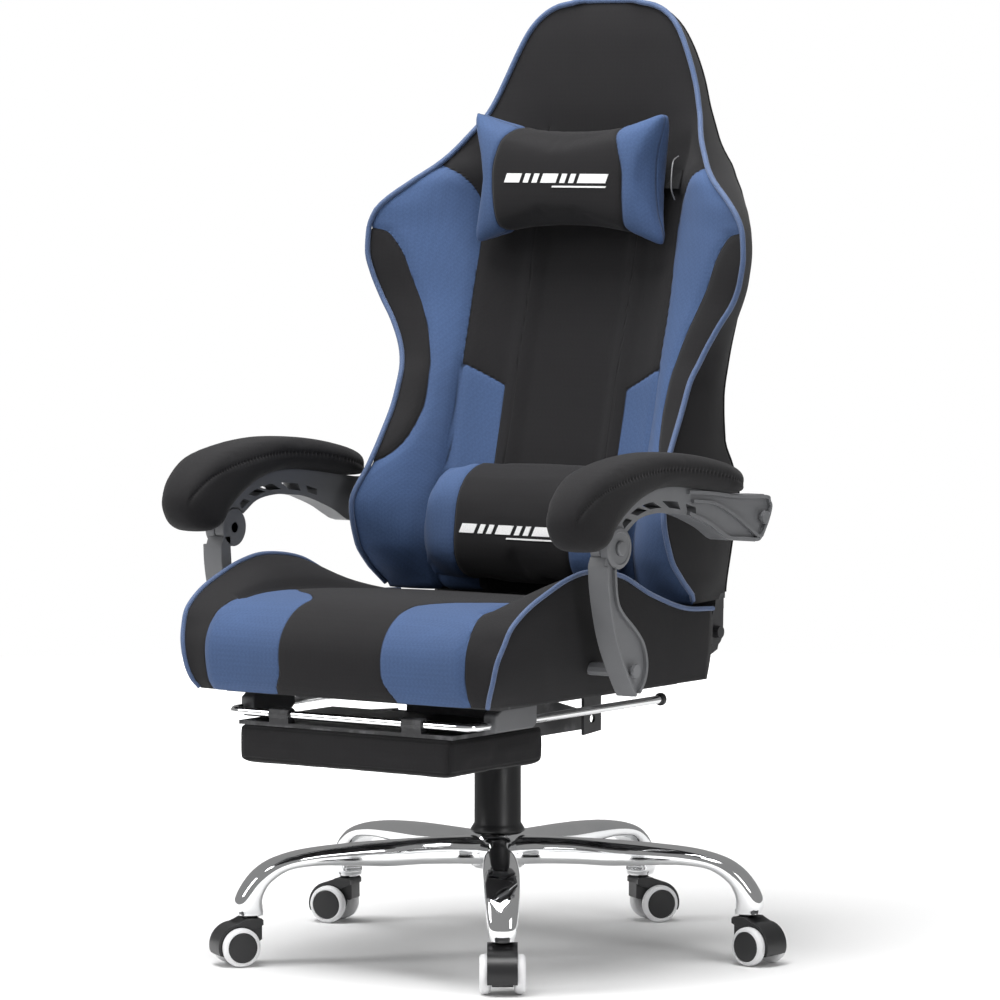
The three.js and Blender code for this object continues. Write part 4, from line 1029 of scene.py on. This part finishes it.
motif("pillow_motif", pillow, pillow_z)
motif("lumbar_motif", lumbar, (lumbar_low[2] + lumbar_high[2]) / 2 - 4)

# The pillow's elastic loop, beside the pillow's left end.
loop = spline([(150, 196, 1046), (158, 172, 1040), (163, 160, 1022), (163, 160, 1003), (160, 172, 990)], 30)
LOOP = thread_material("pale_elastic", (0.16, 0.16, 0.165, 1))
put(tube("pillow_hook_loop", loop, 0.8, LOOP), "back", "webbing")

# ------------------------------------------------------------------ armrests

PIVOT = (-186, 566)  # of the beam on the post, as (y, z)
PAD_MIDDLE = 300  # x of the arm's middle plane
post_front = spline([(-215, 545), (-213, 518), (-206, 485), (-195, 451), (-179, 420), (-161, 392),
    (-151, 378)], 26)
post_rear = spline([(-140, 381), (-127, 398), (-123, 420), (-131, 444), (-150, 464), (-178, 486),
    (-190, 505), (-194, 541)], 26)
beam_crown = spline([(-196, 596), (-175, 610), (-143, 625), (-109, 634), (-66, 636), (-7, 630),
    (82, 618), (152, 614)], 34)
beam_under = spline([(65, 560), (53, 564), (23, 579), (-31, 597), (-66, 602), (-100, 604),
    (-138, 599), (-166, 584)], 30)
slot_top = spline([(-178, 594), (-164, 604), (-137, 614), (-99, 619), (-46, 615), (-8, 606)], 24)
slot_low = spline([(-8, 598), (-40, 605), (-80, 610), (-118, 609), (-150, 600), (-176, 586)], 24)
pad_top = [(-250, 567), (-270, 569), (-288, 580), (-298, 604), (-287, 630), (-259, 651),
    (-219, 664), (-160, 673), (-96, 676), (-21, 670), (50, 657), (84, 646), (91, 633), (82, 622)]
pad_under = [(-7, 634), (-66, 640), (-109, 638), (-145, 628), (-182, 610), (-210, 591), (-228, 574)]
pad_line = spline(pad_top + pad_under, 150, closed=True)


def inset_outline(line, amount):
    before, after = np.roll(line, 1, axis=0), np.roll(line, -1, axis=0)
    along = after - before
    along /= np.linalg.norm(along, axis=1)[:, None]
    inward = np.stack([-along[:, 1], along[:, 0]], 1)
    area = np.sum(line[:, 0] * after[:, 1] - after[:, 0] * line[:, 1])
    return line + inward * (amount if area > 0 else -amount)


def pad_body(side):
    """Rings of the pad's side view, drawn in towards both its sides and, in plan, its ends."""
    rings = []
    reach, radius, end = 35.5, 16.0, 36.0
    y0, y1 = pad_line[:, 0].min(), pad_line[:, 0].max()
    for t in np.linspace(-1, 1, 29):
        offset = reach * math.sin(math.pi / 2 * t)
        over = max(0.0, abs(offset) - (reach - radius))
        shrink = radius - math.sqrt(max(radius ** 2 - over ** 2, 0.0))
        crown = 2.5 * (1 - (offset / reach) ** 2)
        ring = inset_outline(pad_line, min(shrink, 14.0) * 0.9 - crown)
        share = abs(offset) / reach
        drawn = end * (1 - math.sqrt(max(1 - share ** 2.2, 0.0))) * 0.85
        near_front = smoothstep(y0 + 75, y0 + 8, ring[:, 0])
        near_rear = smoothstep(y1 - 60, y1 - 6, ring[:, 0])
        ring[:, 0] += drawn * (near_front - near_rear)
        rings.append(np.column_stack([np.full(len(ring), side * (PAD_MIDDLE + offset)), ring]))
    rings = np.array(rings)
    points = rings.reshape(-1, 3)
    faces = grid_faces(rings.shape[0], rings.shape[1], closed_v=True)
    n = rings.shape[1]
    faces += [tuple(range(n)), tuple((rings.shape[0] - 1) * n + i for i in reversed(range(n)))]
    return points, faces


def pairs(outline):
    return [tuple(p) for p in outline]


def band(line, inside, width):
    """A strip along a line: the line one way and a copy moved across it on the way back."""
    line = np.asarray(line, float)
    along = np.gradient(line, axis=0)
    along /= np.linalg.norm(along, axis=1)[:, None]
    across = np.stack([-along[:, 1], along[:, 0]], 1) * (width if inside > 0 else -width)
    return pairs(np.vstack([line, (line + across)[::-1]]))


beam_line = np.vstack([beam_crown, [(163, 604), (165, 597), (158, 581), (143, 560), (131, 554),
                                    (98, 557)], beam_under,
                       arc(*PIVOT, 26, -28, -232, 17)])
slots = []
for k in range(5):
    a, b = int(round(k * 4.7)) + 1, int(round(k * 4.7)) + 4
    upper_edge, lower_edge = slot_top[a:b + 1], slot_low[::-1][a:b + 1]
    slots.append(pairs(np.vstack([upper_edge, lower_edge[::-1]])))


def cut_through(obj, outlines, x0, x1):
    """Cuts (y, z) openings through an object along X."""
    points, faces = [], []
    for outline in outlines:
        p, f = slab_data(outline, x0, x1, len(points))
        points += p
        faces += f
    cutter = add_mesh("cutter", points, faces, [GREY_PLASTIC])
    tidy_mesh(cutter, merge=0.0001)
    tidy_mesh(obj, merge=0.0001)
    m = obj.modifiers.new("openings", "BOOLEAN")
    m.operation = "DIFFERENCE"
    m.solver = "EXACT"
    m.object = cutter
    bake(obj)
    bpy.data.objects.remove(cutter)
    return obj


for side, label in ((1, "left"), (-1, "right")):
    x0, x1 = side * 286, side * 316

    # post: a blade with a raised rim outside and a boss disc at its top
    outline = np.vstack([post_front, post_rear])
    blade = pairs(outline) + [(-194, 556), (-210, 556)]
    plates = [(blade, x0, side * 311), (disc(*PIVOT, 24.5), x0, side * 300.5),
              (disc(*PIVOT, 8), x0, side * 318.3)]
    plates += [(band(post_front, 1, 4.2), side * 309, x1), (band(post_rear, 1, 4.2), side * 309, x1)]
    post = slabs(f"arm_{label}_post_moulding", plates, GREY_PLASTIC, 1.2)
    put(post, f"{label}_post", "grey_plastic", f"arm_{label}_post")

    # beam: one curved member with five openings, a boss and raised ribs over its rear end
    beam = add_mesh(f"arm_{label}_beam_moulding", *slab_data(pairs(beam_line), x0, side * 311),
                    [GREY_PLASTIC], sharp=30)
    cut_through(beam, slots + [disc(*PIVOT, 26.4)], side * 280, side * 320)
    beam.data.polygons.foreach_set("use_smooth", [True] * len(beam.data.polygons))
    beam.data.set_sharp_from_angle(angle=math.radians(30))
    bevel(beam, 1.4, 3)
    put(beam, f"{label}_armrest", "grey_plastic", f"arm_{label}_beam")
    ribs = [band(spline([(-30, 629), (30, 624), (82, 617), (152, 613), (162, 605)], 30), -1, 4.5),
            band(spline([(-30, 598), (15, 583), (45, 569), (65, 561), (98, 558), (131, 555),
                         (142, 560)], 30), 1, 4.5),
            band(spline([(-20, 613), (30, 607), (75, 590), (118, 567), (134, 558)], 26), 1, 4.0),
            band(spline([(163, 604), (165, 597), (158, 581), (143, 560)], 14), -1, 4.5)]
    rib = slabs(f"arm_{label}_beam_ribs", [(line, side * 309.5, x1) for line in ribs], GREY_PLASTIC, 1.2)
    put(rib, f"{label}_armrest", "grey_plastic")
    boss = turned(f"arm_{label}_boss", [(9.0, 0), (24.5, 0), (25.6, 1), (26.2, 3), (26.2, 12),
                                        (24.5, 14.2), (20.5, 14.8),
                                       (19.5, 13.6), (9.0, 13.2), (9.0, 0)],
                  (side * 301.2, *PIVOT), (side, 0, 0), [GREY_PLASTIC], count=64)
    put(boss, f"{label}_armrest", "grey_plastic")
    cap_disc = turned(f"arm_{label}_pivot_button", [(0.01, 0), (9.3, 0), (9.3, 2.2), (8.2, 3.4), (5, 3.8),
                                                    (0.01, 3.9)],
                      (side * 315.6, *PIVOT), (side, 0, 0), [GREY_PLASTIC], count=40)
    put(cap_disc, f"{label}_armrest", "grey_plastic")
    for node in (f"arm_{label}_front_bolt", f"arm_{label}_rear_bolt"):
        for s in frame["nodes"][node].material_slots:
            s.material = GREY_PLASTIC

    points, faces = pad_body(side)
    pad = add_mesh(f"arm_{label}_pad_cover", points, faces, [BLACK_FABRIC])
    tidy_mesh(pad)
    puff(pad, 2.5, 2.5, 4.0)
    points = local_mm(pad)
    top_line = spline(pad_top[2:-1], 90)
    seam_line = np.array([(b, c - 17) for b, c in top_line])
    away = np.min(np.linalg.norm(points[:, None, 1:] - seam_line[None], axis=2), axis=1)
    away = np.where(np.abs(np.abs(points[:, 0]) - PAD_MIDDLE) > 22, away, 60)
    set_mm(pad, sink(points, normals_of(pad), away, 1.6, 3.5))
    attribute(pad, "seam", away)
    put(pad, f"{label}_armrest", "black_fabric", f"arm_{label}_pad")

# ------------------------------------------------------------------ footrest

rail_low, rail_high = node_box("footrest_frame")
rail_x, rail_z, rail_r = 189, 346.5, 5.3
rail_front = rail_low[1] + rail_r
corner = 22
path = [(rail_x, rail_high[1] - 2, rail_z), (rail_x, rail_front + corner, rail_z)]
path += [(a, b, rail_z) for a, b in arc(rail_x - corner, rail_front + corner, corner, 0, -90, 12)]
path += [(-a, b, c) for a, b, c in reversed(path)]
put(tube("footrest_rail", path, rail_r, CHROME, resolution=10), "footrest", "chrome", "footrest_frame")
for side, label in ((1, "left"), (-1, "right")):
    stop = turned(f"rail_stop_{label}", [(0.01, -2.5), (7.6, -2.5), (8.3, -1.8), (8.3, 1.8), (7.6, 2.5),
                                         (0.01, 2.5)],
                  (side * rail_x, rail_high[1] - 2.5, rail_z), (0, 1, 0), [BLACK_PLASTIC], count=32)
    put(stop, "footrest", "black_plastic")
    guide_low, guide_high = node_box(f"footrest_guide_{label}")
    outline = [(guide_low[1], guide_low[2] + 2), (guide_low[1], guide_high[2] - 7),
               (guide_low[1] + 12, guide_high[2] + 0.2),
               (guide_high[1], guide_high[2] + 0.2), (guide_high[1], guide_low[2] + 6),
               (guide_high[1] - 8, guide_low[2]),
               (guide_low[1] + 3, guide_low[2])]
    guide = slabs(f"footrest_guide_{label}_sleeve", [(outline, guide_low[0], guide_high[0])],
                  GREY_STEEL, 3.0, 4)
    put(guide, "seat", "grey_plastic", f"footrest_guide_{label}")

pad_low, pad_high = node_box("footrest_pad")


def footpad_place(u, v, w):
    middle, half = (pad_low + pad_high) / 2, (pad_high - pad_low) / 2 + np.array([3.0, 3.0, 0.4])
    round_corner = 0.006 * np.abs(u) ** 6 * np.abs(v) ** 6
    x = middle[0] + u * half[0] * (1 - round_corner) * (1 - 0.006 * w ** 4)
    y = middle[1] + v * half[1] * (1 - 2 * round_corner) * (1 - 0.008 * w ** 4)
    z = middle[2] + w * half[2]
    return np.stack([x, y, z], -1)


footpad = shell("footrest_pad_cover", box_sheets(footpad_place, np.linspace(-1, 1, 50),
                                                 np.linspace(-1, 1, 32), np.linspace(-1, 1, 10)),
                [BLACK_FABRIC])
puff(footpad, 3.0, 2.5, 4.5)
points = local_mm(footpad)
x, y, z = points.T
rim = np.minimum(np.abs(z - pad_high[2] + 4), np.abs(z - pad_low[2] - 4))
end_gap = np.minimum(np.abs(y - pad_low[1] - 2), np.abs(y - pad_high[1] + 2))
corner_seam = np.hypot(np.abs(x) - (pad_high[0] - 2), end_gap)
seam = np.minimum(rim, corner_seam)
attribute(footpad, "seam", seam)
put(footpad, "footrest_flap", "black_fabric", "footrest_pad")

# ------------------------------------------------------------------ camera, floor and light

yaw, pitch, distance, eye = math.radians(35), math.radians(4.01), 7.24, 1.11
camera_data = bpy.data.cameras.new("camera")
camera_data.lens = 201.85
camera_data.sensor_width = 36
camera_data.shift_x = 0.0023
camera = bpy.data.objects.new("camera", camera_data)
camera.location = Vector((distance * math.sin(yaw), -distance * math.cos(yaw), eye)) + Vector(AXIS)
camera.rotation_euler = (math.pi / 2 - pitch, 0, yaw)
bpy.context.scene.collection.objects.link(camera)
bpy.context.scene.camera = camera

n = Nodes("floor")
where = n.coordinates()
patches = n.ramp(n.noise(where, 0.6), 0.3, 0.7)
n.set(n.shader, "Base Color", n.mix(patches, (0.93, 0.93, 0.93, 1), (0.90, 0.90, 0.90, 1)))
n.shader.inputs["Roughness"].default_value = 0.9
n.shader.inputs["Specular IOR Level"].default_value = 0.1
# A round floor that fades into the white background.
reach = n.add("ShaderNodeVectorMath", i0=where)
reach.operation = "LENGTH"
glow = n.ramp(reach.outputs["Value"], 0.9, 2.6)
n.set(n.shader, "Emission Color", (1, 1, 1, 1))
seen = n.tree.nodes.new("ShaderNodeLightPath").outputs["Is Camera Ray"]
n.set(n.shader, "Emission Strength", n.math("MULTIPLY", glow, seen))
count = 96
turns = np.arange(count) * 2 * math.pi / count
rings = [(r * math.cos(t), r * math.sin(t), 0) for r in (0.001, 0.5, 1.0, 1.6, 2.2, 3.0, 4.0) for t in turns]
mesh = bpy.data.meshes.new("floor")
mesh.from_pydata(rings, [], grid_faces(len(rings) // count, count, closed_v=True))
mesh.materials.append(n.material)
mesh.polygons.foreach_set("use_smooth", [True] * len(mesh.polygons))
floor = bpy.data.objects.new("floor", mesh)
floor.location = (0, 0, -0.0005)
bpy.context.scene.collection.objects.link(floor)

world = bpy.data.worlds.new("studio")
bpy.context.scene.world = world
world.use_nodes = True
tree = world.node_tree
background = tree.nodes["Background"]
background.inputs["Color"].default_value = (1, 1, 1, 1)
ray = tree.nodes.new("ShaderNodeLightPath")
# White as the camera sees it, and dimmer as a light and in the chrome.
level = tree.nodes.new("ShaderNodeMapRange")
level.inputs["To Min"].default_value = 0.27
level.inputs["To Max"].default_value = 1.0
tree.links.new(ray.outputs["Is Camera Ray"], level.inputs["Value"])
tree.links.new(level.outputs["Result"], background.inputs["Strength"])


def lamp(name, place, target, size, power):
    data = bpy.data.lights.new(name, "AREA")
    data.shape = "RECTANGLE"
    data.size, data.size_y = size
    data.energy = power
    obj = bpy.data.objects.new(name, data)
    obj.location = place
    obj.rotation_euler = (Vector(target) - Vector(place)).to_track_quat("-Z", "Y").to_euler()
    bpy.context.scene.collection.objects.link(obj)
    return obj


lamp("overhead", (0.0, -0.7, 3.6), (0, 0, 0.5), (2.4, 2.4), 190)
lamp("front_left", (-2.6, -3.0, 2.6), (0, 0, 0.9), (1.4, 2.0), 70)
lamp("right", (3.6, -1.4, 2.2), (0, 0, 0.8), (1.0, 2.0), 35)
bpy.context.scene.view_settings.view_transform = "Standard"
bpy.context.scene.view_settings.look = "None"
